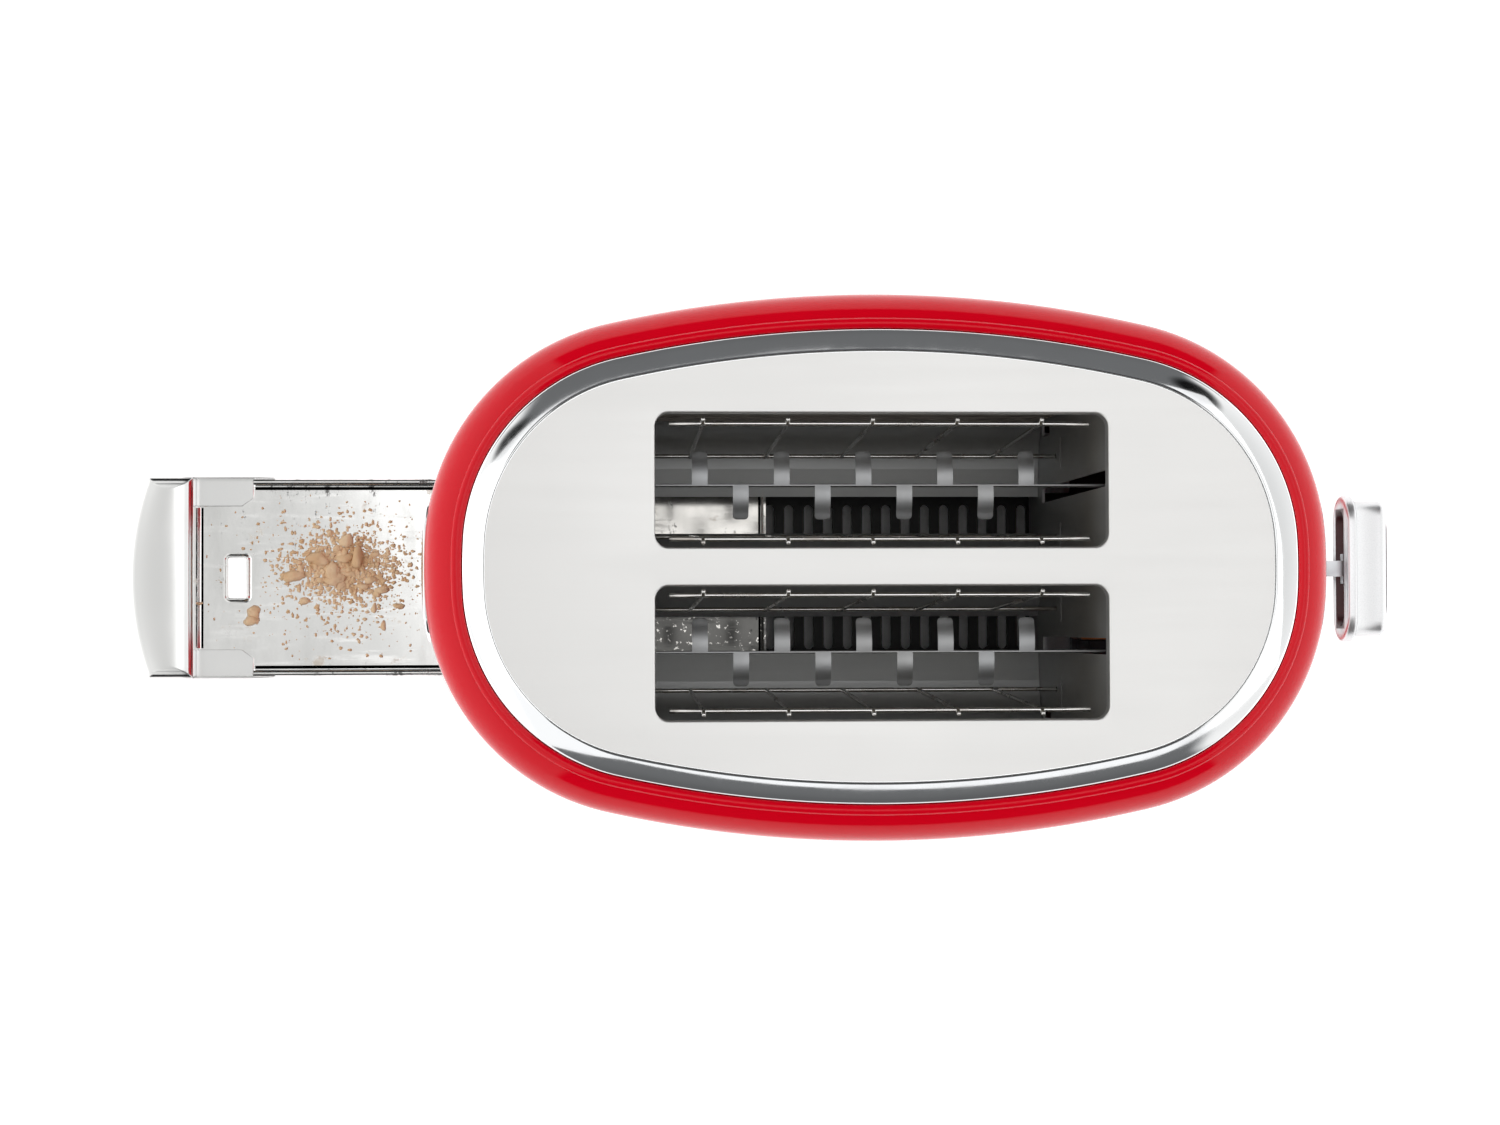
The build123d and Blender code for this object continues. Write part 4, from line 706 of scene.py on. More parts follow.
for name in ("cancel", "reheat", "defrost"):
    node = f"{name}_button"
    lo, hi = low(node), high(node)
    mid_y, mid_z, front = (lo[1] + hi[1]) / 2, (lo[2] + hi[2]) / 2, hi[0]
    sizes = [(front - 0.15, 4.8, 3.5, 1.5, 0.5), *((front - d, 4.8 - t, 3.5 - t, 1.5 - t * 0.5, 1)
                                                   for t, d in quarter_round(0.9))]
    collar = front - 6.0
    sizes += [(collar, 4.8, 3.5, 1.5, 1), (collar, 6, 4.5, 0.6, 1), (collar - 1.4, 6, 4.5, 0.6, 1),
              (collar - 1.4, 1.7, 1.7, 1.69, 1), (lo[0], 1.7, 1.7, 1.69, 1)]
    rows = [np.column_stack([np.full(48, d), oval(a * s, b * s, r * s, 48, (mid_y, mid_z))])
            for d, a, b, r, s in sizes]
    put(f"{name}_cap", *out_faces(*stack(rows, 48)), name, "silver_plastic", [node], 35)

dial_front, dial_root = high("browning_dial")[0], low("browning_dial")[0]
dial_z = (high("browning_dial")[2] + low("browning_dial")[2]) / 2
turn = np.linspace(0, 2 * np.pi, 192, endpoint=False)
flute = np.clip(np.cos(24 * turn) - 0.35, 0, 1) / 0.65


def dial_loop(depth, radius, fluted):
    """r = radius - 0.62 * fluted * flute(turn): a circle with 24 shallow flutes, at x = depth."""
    r = radius - 0.62 * fluted * flute
    return np.column_stack([np.full(192, depth), r * np.cos(turn), dial_z + r * np.sin(turn)])


rows = [dial_loop(dial_front - 0.5 + 0.5 * s**2, 10.9 * s, 0) for s in (0.3, 0.6, 0.8, 0.95)]
rows += [dial_loop(dial_front - d, 12.5 - t, min(1, d)) for t, d in quarter_round(1.6, 7)]
rows += [dial_loop(dial_front - 8.5, 12.5, 1), dial_loop(dial_front - 9.0, 12.5, 0),
         dial_loop(dial_front - 10.8, 12.5, 0), dial_loop(dial_front - 11.0, 12.3, 0),
         dial_loop(dial_front - 11.0, 3.0, 0), dial_loop(dial_root, 3.0, 0)]
put("dial_cap", *out_faces(*stack(rows, 192)), "dial", "silver_plastic", ["browning_dial"], 40)

# %% [markdown]
# Toast is held by wire guards. Two bars run the length of the slot and five wires cross them,
# leaning outwards and flaring at the tips. Tubes along short paths are lighter than curves with
# a bevel, and their ends can be domed like cropped wire.

# %% Bread guards
FOOT_OUT, BAR_OUT = 13.4, 17.1  # from a slot's middle to a cage's foot and to its bar
FOOT_Z, WIRE, WIRE_PITCH = 85.0, 0.69, 25.2
for place, y0 in (("near", SLOT_YS[0]), ("far", SLOT_YS[1])):
    for side_name in ("outer", "inner"):
        node = f"guard_{place}_{side_name}"
        lo, hi = low(node), high(node)
        side = 1.0 if (lo[1] + hi[1]) / 2 > y0 else -1.0
        foot_y, bar_y, bar_z = y0 + side * FOOT_OUT, y0 + side * BAR_OUT, plate_z - 8.0
        lean = (bar_y - foot_y) / (bar_z - FOOT_Z)
        tubes = [tube(straight((-71.5, foot_y, FOOT_Z), (71.5, foot_y, FOOT_Z), 12), WIRE),
                 tube(straight((-62.5, bar_y, bar_z), (62.5, bar_y, bar_z), 12), WIRE)]
        for k in range(-2, 3):
            wire_x = -2.25 + k * WIRE_PITCH
            path = rounded([(wire_x, foot_y - lean * 3, FOOT_Z - 3), (wire_x, bar_y, bar_z),
                            (wire_x, bar_y + side * 1.3, bar_z + 2.6)], 1.2, 6)
            tubes.append(tube(path, WIRE))
        body = f"guard_body_{place}_{side_name}"
        put(f"wire_{node}", *join(tubes), body, "guard_wire", [node], 60)

# %% [markdown]
# The bread rests on a rail with arched fingers. A finger is a strip whose width falls to nothing
# along a quarter ellipse, which rounds its tip, and whose height follows a low arch.

# %% Bread racks
rack_z = high("bread_rack_near")[2] - 0.5


def finger(x0, y0, side):
    """Arched strip: s runs out along it, w across, half width 2.4 narrowing to the tip."""
    s = np.sin(np.linspace(0, np.pi / 2, 15))
    reach = 10.4 * s
    tip = np.clip((reach - 9.2) / 1.2, 0, 1)
    half = 1.2 + 1.2 * np.sqrt(np.clip(1 - tip**2, 0, 1))
    rise = 0.5 * np.sin(np.pi * np.clip(s / 0.8, 0, 1)) - 1.7 * s**1.8
    across = np.linspace(-1, 1, 9)
    curl = 0.12 * (1 - across**2)
    points = np.stack([x0 + half[:, None] * across, y0 + side * reach[:, None] + 0 * across,
                       rack_z - 0.05 + rise[:, None] + curl[None]], -1).reshape(-1, 3)
    faces = grid_faces(15, 9)
    if facing(points, faces)[:, 2].sum() < 0:
        faces = faces[:, ::-1]
    return give_wall(points, faces, 0.8)


def rail(y0):
    """Thin upright bar: a rounded section, 0.8 wide and 6 tall, drawn along x."""
    x_low, x_high = low("bread_rack_near")[0], high("bread_rack_near")[0]
    section = oval(0.4, 3.0, 0.3, 16)
    rows = [np.column_stack([np.full(16, x0), section[:, 0] + y0, section[:, 1] + rack_z - 3.0])
            for x0 in np.linspace(x_low, x_high, 5)]
    return out_faces(*stack(rows, 16))


for place, y0 in (("near", SLOT_YS[0]), ("far", SLOT_YS[1])):
    pieces = [rail(y0)]
    pieces += [finger(-2.6 + (k - 2) * 25.0, y0, 1) for k in range(5)]
    pieces += [finger(-2.6 + (k - 1.5) * 25.0, y0, -1) for k in range(4)]
    put(f"rack_{place}", *join(pieces), "carriage", "rack_steel", [f"bread_rack_{place}"], 50)

# %% [markdown]
# The imported model carries the lifting spring as a plain sleeve. The real one is a coil, so it is
# drawn as a helix with closed end turns.

# %% Lifting spring
spring_low, spring_high = low("lift_spring"), high("lift_spring")
rod_x, rod_y = (spring_low[:2] + spring_high[:2]) / 2
s = np.linspace(0, 1, 560)
coils = 17
rise = np.clip((s * (coils + 3) - 1.5) / coils, 0, 1)
height = spring_low[2] + 0.5 + rise * (spring_high[2] - spring_low[2] - 1.0)
turn = 2 * np.pi * (coils + 3) * s
helix = np.stack([rod_x + 4.05 * np.cos(turn), rod_y + 4.05 * np.sin(turn), height], -1)
spring = put("spring_coil", *tube(helix, 0.42, 10), "root", "spring_wire", ["lift_spring"], 70)
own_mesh(spring)

# %% [markdown]
# The tray's handle is a hollow bar with a bowed front. A loop of its plan, made smaller step by
# step, gives every row: from a line down the middle of the top, out to the edge, over the round,
# down the side, under the rim and up the hollow. The middle line takes both halves of the last
# loop, so the top closes without a pole that would show in the polish.

# %% Tray handle
handle_low, handle_high = low("tray_handle"), high("tray_handle")
tip, back, half_width = handle_low[0], handle_low[0] + 22.0, handle_high[1]
bow_radius = (half_width**2 + 6.5**2) / (2 * 6.5)


def bow(y, inset=0.0):
    """Front edge of the handle: an arc that stands 6.5 mm proud in the middle."""
    return tip + inset + bow_radius - np.sqrt(bow_radius**2 - y**2)


def handle_loop(inset):
    """Plan of the handle, inset all round, with its corners rounded."""
    half = half_width - inset
    front_y, back_y = np.linspace(half, -half, 61), np.linspace(-half, half, 61)
    front = np.stack([bow(front_y, inset), front_y], -1)
    rear = np.stack([np.full(61, back - inset), back_y], -1)
    radius = np.zeros(122)
    radius[[0, 60, 61, 121]] = 1.1
    return rounded(np.concatenate([front, rear]), radius, 5, closed=True)


def handle_row(inset, height, share=0.0):
    """A loop at a height, drawn towards the middle line by a share."""
    loop = handle_loop(inset)
    line_y = np.clip(loop[:, 1], -half_width + 5, half_width - 5)
    line = np.stack([(bow(line_y) + back) / 2, line_y], -1)
    flat = loop * (1 - share) + line * share
    return np.column_stack([flat, np.full(len(flat), height)])


top_z, rim_z = handle_high[2], handle_low[2]
rows = [handle_row(2.2, top_z - 0.5 * (1 - s) ** 2, s) for s in (1, 0.85, 0.7, 0.55, 0.4, 0.25, 0.1)]
rows += [handle_row(t, top_z - 0.5 - d) for t, d in quarter_round(2.2, 9)]
rows += [handle_row(0, z0) for z0 in (20, 16, 12, rim_z + 0.6)]
rows += [handle_row(0.6 - 0.6 * np.cos(a), rim_z + 0.6 - 0.6 * np.sin(a)) for a in (0.5, 1.0, np.pi / 2)]
rows += [handle_row(1.8, rim_z), handle_row(2.4, rim_z + 0.6), handle_row(2.4, top_z - 2.9)]
rows += [handle_row(2.4, top_z - 2.7, s) for s in (0.3, 0.6, 1)]
points = np.concatenate(rows)
handle = weld([(points, grid_faces(len(rows), len(rows[0]), wrap_columns=True))])


def prism(outline, z0, z1):
    """Convex outline between two heights; its top and bottom are fans of triangles."""
    outline = np.asarray(outline, float)
    if np.cross(np.append(outline[1] - outline[0], 0), np.append(outline[2] - outline[1], 0))[2] < 0:
        outline = outline[::-1]
    n = len(outline)
    points = np.concatenate([np.column_stack([outline, np.full(n, h)]) for h in (z0, z1)])
    fan = np.stack([np.zeros(n - 2, int), np.arange(1, n - 1), np.arange(2, n), np.arange(2, n)], -1)
    return points, np.concatenate([fan[:, ::-1], fan + n, grid_faces(2, n, wrap_columns=True)])


tray_floor = low("crumb_pan")[2] + 0.8
handle_parts = [out_faces(*handle)]
for side in (-1, 1):
    inside, outside = side * 34.75, side * half_width
    cheek = [(back - 0.5, inside), (back - 0.5, outside), (back + 19.6, outside),
             (back + 28, inside + side * 0.25), (back + 28, inside)]
    tab = [(back - 0.5, side * 25.3), (back + 16, side * 25.3), (back + 20, side * 28.3),
           (back + 20, side * 34.85), (back - 0.5, side * 34.85)]
    handle_parts += [prism(cheek, tray_floor, tray_floor + 8), prism(tab, tray_floor, tray_floor + 1.2)]
handle_piece = put("handle_bar", *join(handle_parts), "tray", "polished_chrome", ["tray_handle"], 35)
soften = handle_piece.modifiers.new("edges", "BEVEL")
soften.width, soften.segments, soften.limit_method = 0.00018, 2, "ANGLE"
soften.angle_limit = np.radians(50)

# %% [markdown]
# The crumb pan is folded sheet. Its floor has a small window with a raised lip, so it is the same
# triangulation job as the plate. The long sides turn up through a fold and end in a rolled edge,
# which is a bar along each side. The lip is a ring with a closed section of its own.

# %% Crumb pan
pan_start, pan_end, side_start = back, high("crumb_pan")[0], back + 20.5
window_x, window_half = back + 14.3, np.array([3.3, 7.2])


def window_loop(grow):
    """The finger window's outline, grown by grow mm all round."""
    return oval(window_half[0] + grow, window_half[1] + grow, 1.0 + grow, 40, (window_x, 0))


def folded(profile, start, stop, count=24):
    """Sheet whose section (y, z) runs along x from start to stop; its sides face inwards and up."""
    x_rows = np.linspace(start, stop, count)
    rows = [np.column_stack([np.full(len(profile), x0), profile]) for x0 in x_rows]
    faces = grid_faces(count, len(profile))
    points = np.concatenate(rows)
    return points, faces if facing(points, faces)[:, 2].sum() > 0 else faces[:, ::-1]


border_x = np.linspace(pan_start + 0.8, pan_end - 0.4, 30)
border = np.concatenate([np.column_stack([border_x, np.full(30, -32.2)]),
                         np.column_stack([border_x[::-1], np.full(30, 32.2)])])
inner_grid = np.stack(np.meshgrid(border_x[1:-1], np.linspace(-26, 26, 9)), -1).reshape(-1, 2)
inner_grid = inner_grid[crossings(inner_grid, window_loop(3.0)) % 2 == 0]
flat, triangles = sheet_of(border, [window_loop(0.5)], inner_grid)
floor_points = np.column_stack([flat, np.full(len(flat), tray_floor)])
if facing(floor_points, triangles)[:, 2].sum() < 0:
    triangles = triangles[:, ::-1]
pan_parts = [give_wall(floor_points, triangles, 0.8)]
for side in (-1, 1):
    fold = rounded([(31.0, 0), (33.2, 0), (33.2, 5.2)], 1.2, 6) * [side, 1] + [0, tray_floor]
    pan_parts.append(give_wall(*folded(fold, side_start, pan_end), 0.8))
    roll_y, roll_z = side * 33.6, tray_floor + 5.2
    roll = straight((side_start, roll_y, roll_z), (pan_end - 0.4, roll_y, roll_z), 24)
    pan_parts.append(tube(roll, 1.0, 16))
for x0, lean, half, rise in ((pan_start, 1, 24.8, 8.2), (pan_end, -1, 33.0, 5.2)):
    fold = rounded([(2.4 * lean, 0), (0.8 * lean, 0), (0.8 * lean, rise)], 0.9, 5)
    columns = np.linspace(-half, half, 21)
    fold += [x0, tray_floor]
    points = np.concatenate([np.column_stack([fold[:, 0], np.full(len(fold), y0), fold[:, 1]])
                             for y0 in columns])
    faces = grid_faces(21, len(fold))
    if facing(points, faces)[:, 2].sum() < 0:
        faces = faces[:, ::-1]
    pan_parts.append(give_wall(points, faces, 0.8))
lip = rounded([(1.7, -0.5), (1.7, 0.05), (0.85, 0.15), (0.8, 1.4), (0.0, 1.4), (0.0, -0.8), (0.9, -0.8)],
              [0, 0, 0.5, 0.35, 0.3, 0, 0], 4, closed=True)
rows = [np.column_stack([window_loop(t), np.full(40, tray_floor + h)]) for t, h in lip]
pan_parts.append(out_faces(np.concatenate(rows), grid_faces(len(lip), 40, True, True)))
put("crumb_tray_pan", *join(pan_parts), "tray", "tray_chrome", ["crumb_pan"], 40)

# %% [markdown]
# Loose crumbs make the tray read as used. Each is a small sphere grid whose radius is bent by a
# few random waves and which is flattened where it lies. All of them are computed at once: the
# crumb number is simply the first axis of the arrays.

# %% Toast crumbs
chance = np.random.default_rng(7)


def crumbs(laid, rows, columns):
    """radius = size * (1 + waves), squeezed in height, resting on z = 0; axes: crumb, row, column."""
    places, sizes, n = laid[:, :2], laid[:, 2], len(laid)
    heights = sizes * chance.uniform(0.35, 0.6, n)
    up = np.linspace(0, np.pi, rows)[None, :, None]
    round_ = np.linspace(0, 2 * np.pi, columns, endpoint=False)[None, None, :]
    phase = chance.uniform(0, 2 * np.pi, (4, n, 1, 1))
    waves = (0.16 * np.sin(2 * round_ + 2 * up + phase[0]) + 0.12 * np.sin(3 * round_ - up + phase[1])
             + 0.09 * np.sin(5 * round_ + 3 * up + phase[2]) * np.sin(up) + 0.06 * np.cos(4 * up + phase[3]))
    waves = waves * np.sin(up) ** 0.5
    r = sizes[:, None, None] * (1 + waves)
    stretch = chance.uniform(0.7, 1.35, (n, 1, 1))
    points = np.stack([r * np.sin(up) * np.cos(round_) * stretch, r * np.sin(up) * np.sin(round_) / stretch,
                       heights[:, None, None] * (np.cos(up) * (1 + 0.5 * waves) + 0 * round_)], -1)
    points[..., 2] -= points[..., 2].min((1, 2), keepdims=True)
    points += np.column_stack([places, np.full(n, tray_floor - 0.03)])[:, None, None]
    single = grid_faces(rows, columns, wrap_columns=True)
    faces = (single[None] + np.arange(n)[:, None, None] * rows * columns).reshape(-1, 4)
    points, faces = weld([(points.reshape(-1, 3), faces)])
    if (facing(points, faces)[:, 2] * (points[:, 2] - tray_floor - 0.3)).sum() < 0:
        faces = faces[:, ::-1]
    return points, faces


def scatter(centre, spread, count, low_size, high_size):
    """Places around a centre and crumb radii between two sizes, more of them small."""
    places = chance.normal(centre, spread, (count, 2))
    return np.column_stack([places, low_size + (high_size - low_size) * chance.uniform(0, 1, count) ** 2])


def on_pan(laid):
    """Keeps what lies between the walls, clear of the mouth and of the finger window."""
    laid = laid[(np.abs(laid[:, 1]) < 30.5) & (laid[:, 0] < -141) & (laid[:, 0] > -224)]
    return laid[(np.abs(laid[:, 0] + 208.5) > 6.5) | (np.abs(laid[:, 1]) > 10)]


coarse = on_pan(np.concatenate([
    scatter((-172, 5), (9, 6), 6, 2.0, 3.1), scatter((-172, 4), (8.5, 6), 42, 0.8, 1.8),
    scatter((-187, 7), (5, 5), 3, 2.2, 3.0), scatter((-204, -11), (3, 3), 3, 1.6, 2.4),
    scatter((-156, -10), (4, 4), 4, 1.3, 2.4)]))
fine = on_pan(np.concatenate([
    scatter((-172, 4), (8.5, 5.5), 1700, 0.25, 0.95), scatter((-168, 1), (16, 11), 700, 0.16, 0.7),
    scatter((-180, -1), (18, 16), 400, 0.15, 0.7)]))
put("toast_crumbs", *join([crumbs(coarse, 9, 12), crumbs(fine, 5, 7)]), "tray", "toast", (), 80)

# %% [markdown]
# Most finishes start from what happened to the metal or the moulding. Enamel is a coloured coat
# with a faint orange peel. Polished metal carries smudges, and the tray's handle is duller than
# the ring, with painted shade along its back edge. The pan has painted shade where it runs inside
# the body, a painted dark reflection under the near slot, and dark streaks that are grime and
# painted reflection. The knob's hollow holds painted shade with a painted red reflection. Object
# coordinates hold all of it still, and each varying input feeds only colour, roughness, metalness,
# coat or bump.

# %% Finishes of the outside
enamel = Finish("red_enamel", IOR=1.5, Coat_Roughness=0.03, Coat_IOR=1.30, Specular_IOR_Level=0.0)
cloud_noise = enamel.noise(9.0, 4.0)
enamel.set("Base_Color", enamel.blend(cloud_noise, (0.62, 0.0008, 0.010), (0.70, 0.0016, 0.014)))
enamel.set("Roughness", enamel.noise(35.0, 3.0) * 0.10 + 0.14)
enamel.set("Coat_Weight", enamel.noise(60.0, 2.0) * 0.06 + 0.94)
enamel.set("Normal", enamel.bump(enamel.noise(900.0, 2.0), 0.000012))

chrome = Finish("polished_chrome", Metallic=1.0)
smudge = chrome.noise(22.0, 5.0, 0.6).above(0.56, 0.10)
wipe = chrome.noise(120.0, 3.0, 0.6, (1.0, 0.18, 0.6)).above(0.6, 0.12)
handle_zone = 1.0 - chrome.axes()[0].above(-0.190, 0.010)
shine = chrome.blend(smudge * 0.6, (0.86, 0.87, 0.88), (0.78, 0.785, 0.79))
shine = chrome.blend(handle_zone, shine, (0.76, 0.76, 0.755))
# A grey band across the back of the handle is painted shade: it darkens the handle's rear edge where it meets
# the pan.
bar_rear_painted_shade = chrome.axes()[0].above(-0.2272, 0.0012) * handle_zone * (1.0 - chrome.axes()[0].above(-0.2237, 0.0003))
chrome.set("Base_Color", chrome.blend(bar_rear_painted_shade, shine, (0.50, 0.50, 0.50)))
chrome.set("Roughness", smudge * 0.05 + wipe * 0.02 + handle_zone * 0.11 + 0.045)
chrome.set("Normal", chrome.bump(chrome.noise(30.0, 2.0), 0.00003))

plate = Finish("satin_plate", Metallic=1.0)
grain = plate.noise(260.0, 4.0, 0.6, (0.05, 1.0, 1.0))
plate.set("Base_Color", plate.blend(grain, (0.70, 0.695, 0.686), (0.75, 0.745, 0.736)))
plate.set("Roughness", grain * 0.10 + plate.noise(14.0, 4.0) * 0.08 + 0.36)
plate.set("Normal", plate.bump(grain, 0.000008))

pan = Finish("tray_chrome", Metallic=1.0)
film = pan.noise(28.0, 6.0, 0.62, (1.0, 0.45, 1.0)).above(0.54, 0.14)
scuff = pan.noise(340.0, 3.0, 0.6, (0.12, 1.0, 1.0)).above(0.62, 0.08)
baked = pan.noise(75.0, 5.0, 0.7).above(0.66, 0.05)
edge = pan.axes()[1].size().above(0.030, 0.007)
# Dark streaks, more of them towards the long edges, are grime and painted dark reflection: they turn the
# colour nearly black as well as rougher.
streaks = pan.noise(150.0, 5.0, 0.7, (1.0, 0.12, 1.0)) * 0.7 + pan.noise(600.0, 3.0, 0.7) * 0.3
grime_and_painted_reflection = (streaks + edge * 0.07).above(0.63, 0.03)
pan_colour = pan.blend(film, (0.84, 0.84, 0.83), (0.60, 0.60, 0.59))
pan_colour = pan.blend(baked * 0.45, pan_colour, (0.42, 0.32, 0.20))
# Where the pan runs inside the body, under the slots, its colour is darkened: painted shade.
painted_shade_under_slots = pan.axes()[0].above(-0.126, 0.010)
pan_colour = pan.blend(painted_shade_under_slots * 0.7, pan_colour, (0.42, 0.40, 0.37))
specks = pan.noise(700.0, 3.0, 0.6).above(0.64, 0.02)
# In the near half under the slots the pan is painted nearly black, with bright specks left in it: a painted
# dark reflection.
painted_dark_reflection = painted_shade_under_slots * (1.0 - pan.axes()[1].above(0.0, 0.004)) * (1.0 - specks)
pan_colour = pan.blend(painted_dark_reflection * 0.92, pan_colour, (0.05, 0.05, 0.048))
pan.set("Base_Color", pan.blend(grime_and_painted_reflection * 0.85, pan_colour, (0.07, 0.07, 0.068)))
pan.set("Roughness", film * 0.14 + scuff * 0.12 + baked * 0.2 + grime_and_painted_reflection * 0.2 + 0.09)
pan.set("Normal", pan.bump(pan.noise(16.0, 3.0, 0.5, (1.3, 0.35, 1.0)) + scuff * 0.02, 0.00022))

silver = Finish("silver_plastic", Coat_Weight=0.1, Coat_Roughness=0.15)
flake = silver.spots(2600.0)
lacquer = silver.blend(flake, (0.80, 0.805, 0.815), (0.72, 0.725, 0.74))
knob_x, knob_y, knob_z = silver.axes()
deep_in = 1.0 - knob_x.above(0.1571, 0.0002)
between_ends = 1.0 - knob_y.size().above(0.0188, 0.0003)
between_walls = 1.0 - (knob_z - float(lever_z) * MM).size().above(0.0048, 0.0002)
# The knob's hollow is painted dark red and made non-metallic: painted shade with a painted reflection of the
# red body.
hollow_painted_shade = deep_in * between_ends * between_walls
silver.set("Base_Color", silver.blend(hollow_painted_shade, lacquer, (0.07, 0.012, 0.014)))
silver.set("Metallic", (flake * 0.1 + 0.86) * (1.0 - hollow_painted_shade))
silver.set("Roughness", silver.noise(40.0, 4.0) * 0.08 + 0.32)
silver.set("Normal", silver.bump(flake, 0.00001))

black = Finish("black_plastic")
pebble = black.noise(1400.0, 3.0, 0.55)
black.set("Base_Color", black.blend(black.noise(18.0, 4.0), (0.018, 0.018, 0.019), (0.034, 0.033, 0.033)))
black.set("Roughness", pebble * 0.16 + black.noise(25.0, 3.0) * 0.08 + 0.42)
black.set("Normal", black.bump(pebble, 0.00006))

rubber = Finish("foot_rubber")
dust = rubber.noise(45.0, 5.0).above(0.55, 0.12)
rubber.set("Base_Color", rubber.blend(dust * 0.5, (0.016, 0.016, 0.017), (0.07, 0.066, 0.06)))
rubber.set("Roughness", dust * 0.12 + 0.72)
rubber.set("Normal", rubber.bump(rubber.noise(900.0, 3.0), 0.00005))
print("outside finishes:", ", ".join(FINISHES))

# %% [markdown]
# Inside, nothing is clean. Steel near the heating ribbons turns straw, then blue-grey, so the
# oven's tint depends on the height above the chamber floor as well as on noise.

# %% Finishes of the inside
oven = Finish("oven_sheet", Metallic=0.8)
oven_height = oven.axes()[2]
hot = (oven_height.above(0.10, 0.07) * (1.0 - oven_height.above(0.172, 0.03))) * oven.noise(18.0, 4.0)
rolled = oven.noise(180.0, 4.0, 0.6, (0.08, 1.0, 0.08))
grey = oven.blend(rolled, (0.50, 0.51, 0.515), (0.62, 0.63, 0.635))
oven.set("Base_Color", oven.blend(hot * 0.7, grey, (0.40, 0.34, 0.26)))
oven.set("Roughness", rolled * 0.14 + oven.noise(12.0, 3.0) * 0.1 + 0.36)
oven.set("Normal", oven.bump(oven.noise(20.0, 2.0) + rolled * 0.05, 0.00025))

rack = Finish("rack_steel", Metallic=1.0)
tone = rack.noise(30.0, 4.0)
rack.set("Base_Color", rack.blend(tone, (0.36, 0.37, 0.385), (0.29, 0.285, 0.28)))
rack.set("Roughness", rack.noise(300.0, 3.0) * 0.12 + 0.36)
rack.set("Normal", rack.bump(rack.noise(500.0, 2.0), 0.00001))

guard = Finish("guard_wire", Metallic=1.0)
scorch = guard.noise(70.0, 4.0).above(0.58, 0.1)
guard.set("Base_Color", guard.blend(scorch * 0.6, (0.80, 0.79, 0.77), (0.36, 0.31, 0.26)))
guard.set("Roughness", scorch * 0.2 + 0.17)
guard.set("Normal", guard.bump(guard.noise(1600.0, 2.0), 0.00001))

mica = Finish("mica")
layer = mica.noise(60.0, 5.0, 0.65, (1.0, 1.0, 0.5))
fleck = mica.spots(260.0).above(0.35, 0.2)
mica_colour = mica.blend(layer, (0.50, 0.45, 0.36), (0.36, 0.30, 0.22))
mica.set("Base_Color", mica.blend(fleck * 0.35, mica_colour, (0.62, 0.58, 0.50)))
mica.set("Roughness", fleck * 0.2 + 0.3)
mica.set("Normal", mica.bump(layer, 0.00004))

ribbon = Finish("ribbon_alloy", Metallic=0.85)
oxide = ribbon.noise(130.0, 4.0)
ribbon.set("Base_Color", ribbon.blend(oxide, (0.30, 0.27, 0.25), (0.14, 0.12, 0.12)))
ribbon.set("Roughness", oxide * 0.25 + 0.38)
ribbon.set("Normal", ribbon.bump(ribbon.noise(1500.0, 2.0), 0.00001))

zinc = Finish("zinc_steel", Metallic=1.0)
spangle = zinc.spots(160.0)
zinc.set("Base_Color", zinc.blend(spangle, (0.62, 0.63, 0.65), (0.48, 0.49, 0.51)))
zinc.set("Roughness", spangle * 0.15 + zinc.noise(40.0, 3.0) * 0.1 + 0.24)
zinc.set("Normal", zinc.bump(spangle, 0.00002))

rod = Finish("bright_rod", Metallic=1.0)
ground = rod.noise(900.0, 3.0, 0.6, (1.0, 1.0, 0.04))
rod.set("Base_Color", rod.blend(ground, (0.78, 0.78, 0.80), (0.66, 0.66, 0.68)))
rod.set("Roughness", ground * 0.1 + 0.12)
rod.set("Normal", rod.bump(ground, 0.000006))

wire = Finish("spring_wire", Metallic=1.0)
drawn = wire.noise(420.0, 3.0)
wire.set("Base_Color", wire.blend(drawn, (0.52, 0.52, 0.54), (0.34, 0.33, 0.33)))
wire.set("Roughness", drawn * 0.18 + 0.2)
wire.set("Normal", wire.bump(drawn, 0.00001))

iron = Finish("core_iron", Metallic=0.9)
leaves = iron.noise(500.0, 2.0, 0.5, (0.05, 1.0, 0.05))
iron.set("Base_Color", iron.blend(leaves, (0.20, 0.20, 0.21), (0.09, 0.085, 0.08)))
iron.set("Roughness", leaves * 0.2 + 0.42)
iron.set("Normal", iron.bump(leaves, 0.00004))

copper = Finish("copper_winding", Metallic=0.9, Coat_Weight=0.5)
strands = copper.node("TexWave", {"bands_direction": "X"}, {0: copper.place(), 1: 480.0, 2: 1.2})
copper.set("Base_Color", copper.blend(strands, (0.32, 0.10, 0.035), (0.66, 0.27, 0.12)))
copper.set("Roughness", copper.noise(200.0, 3.0) * 0.15 + 0.22)
copper.set("Normal", copper.bump(strands, 0.00012))

board = Finish("circuit_board", Coat_Weight=0.2)
fibre = board.noise(420.0, 4.0, 0.6, (1.0, 0.3, 1.0))
board.set("Base_Color", board.blend(fibre, (0.30, 0.18, 0.06), (0.42, 0.27, 0.10)))
board.set("Roughness", fibre * 0.15 + 0.4)
board.set("Normal", board.bump(fibre, 0.00002))

white = Finish("white_plastic", Coat_Weight=0.3)
stain = white.noise(26.0, 5.0)
white.set("Base_Color", white.blend(stain, (0.86, 0.84, 0.79), (0.72, 0.68, 0.60)))
white.set("Roughness", stain * 0.15 + 0.28)
white.set("Normal", white.bump(white.noise(600.0, 2.0), 0.00002))

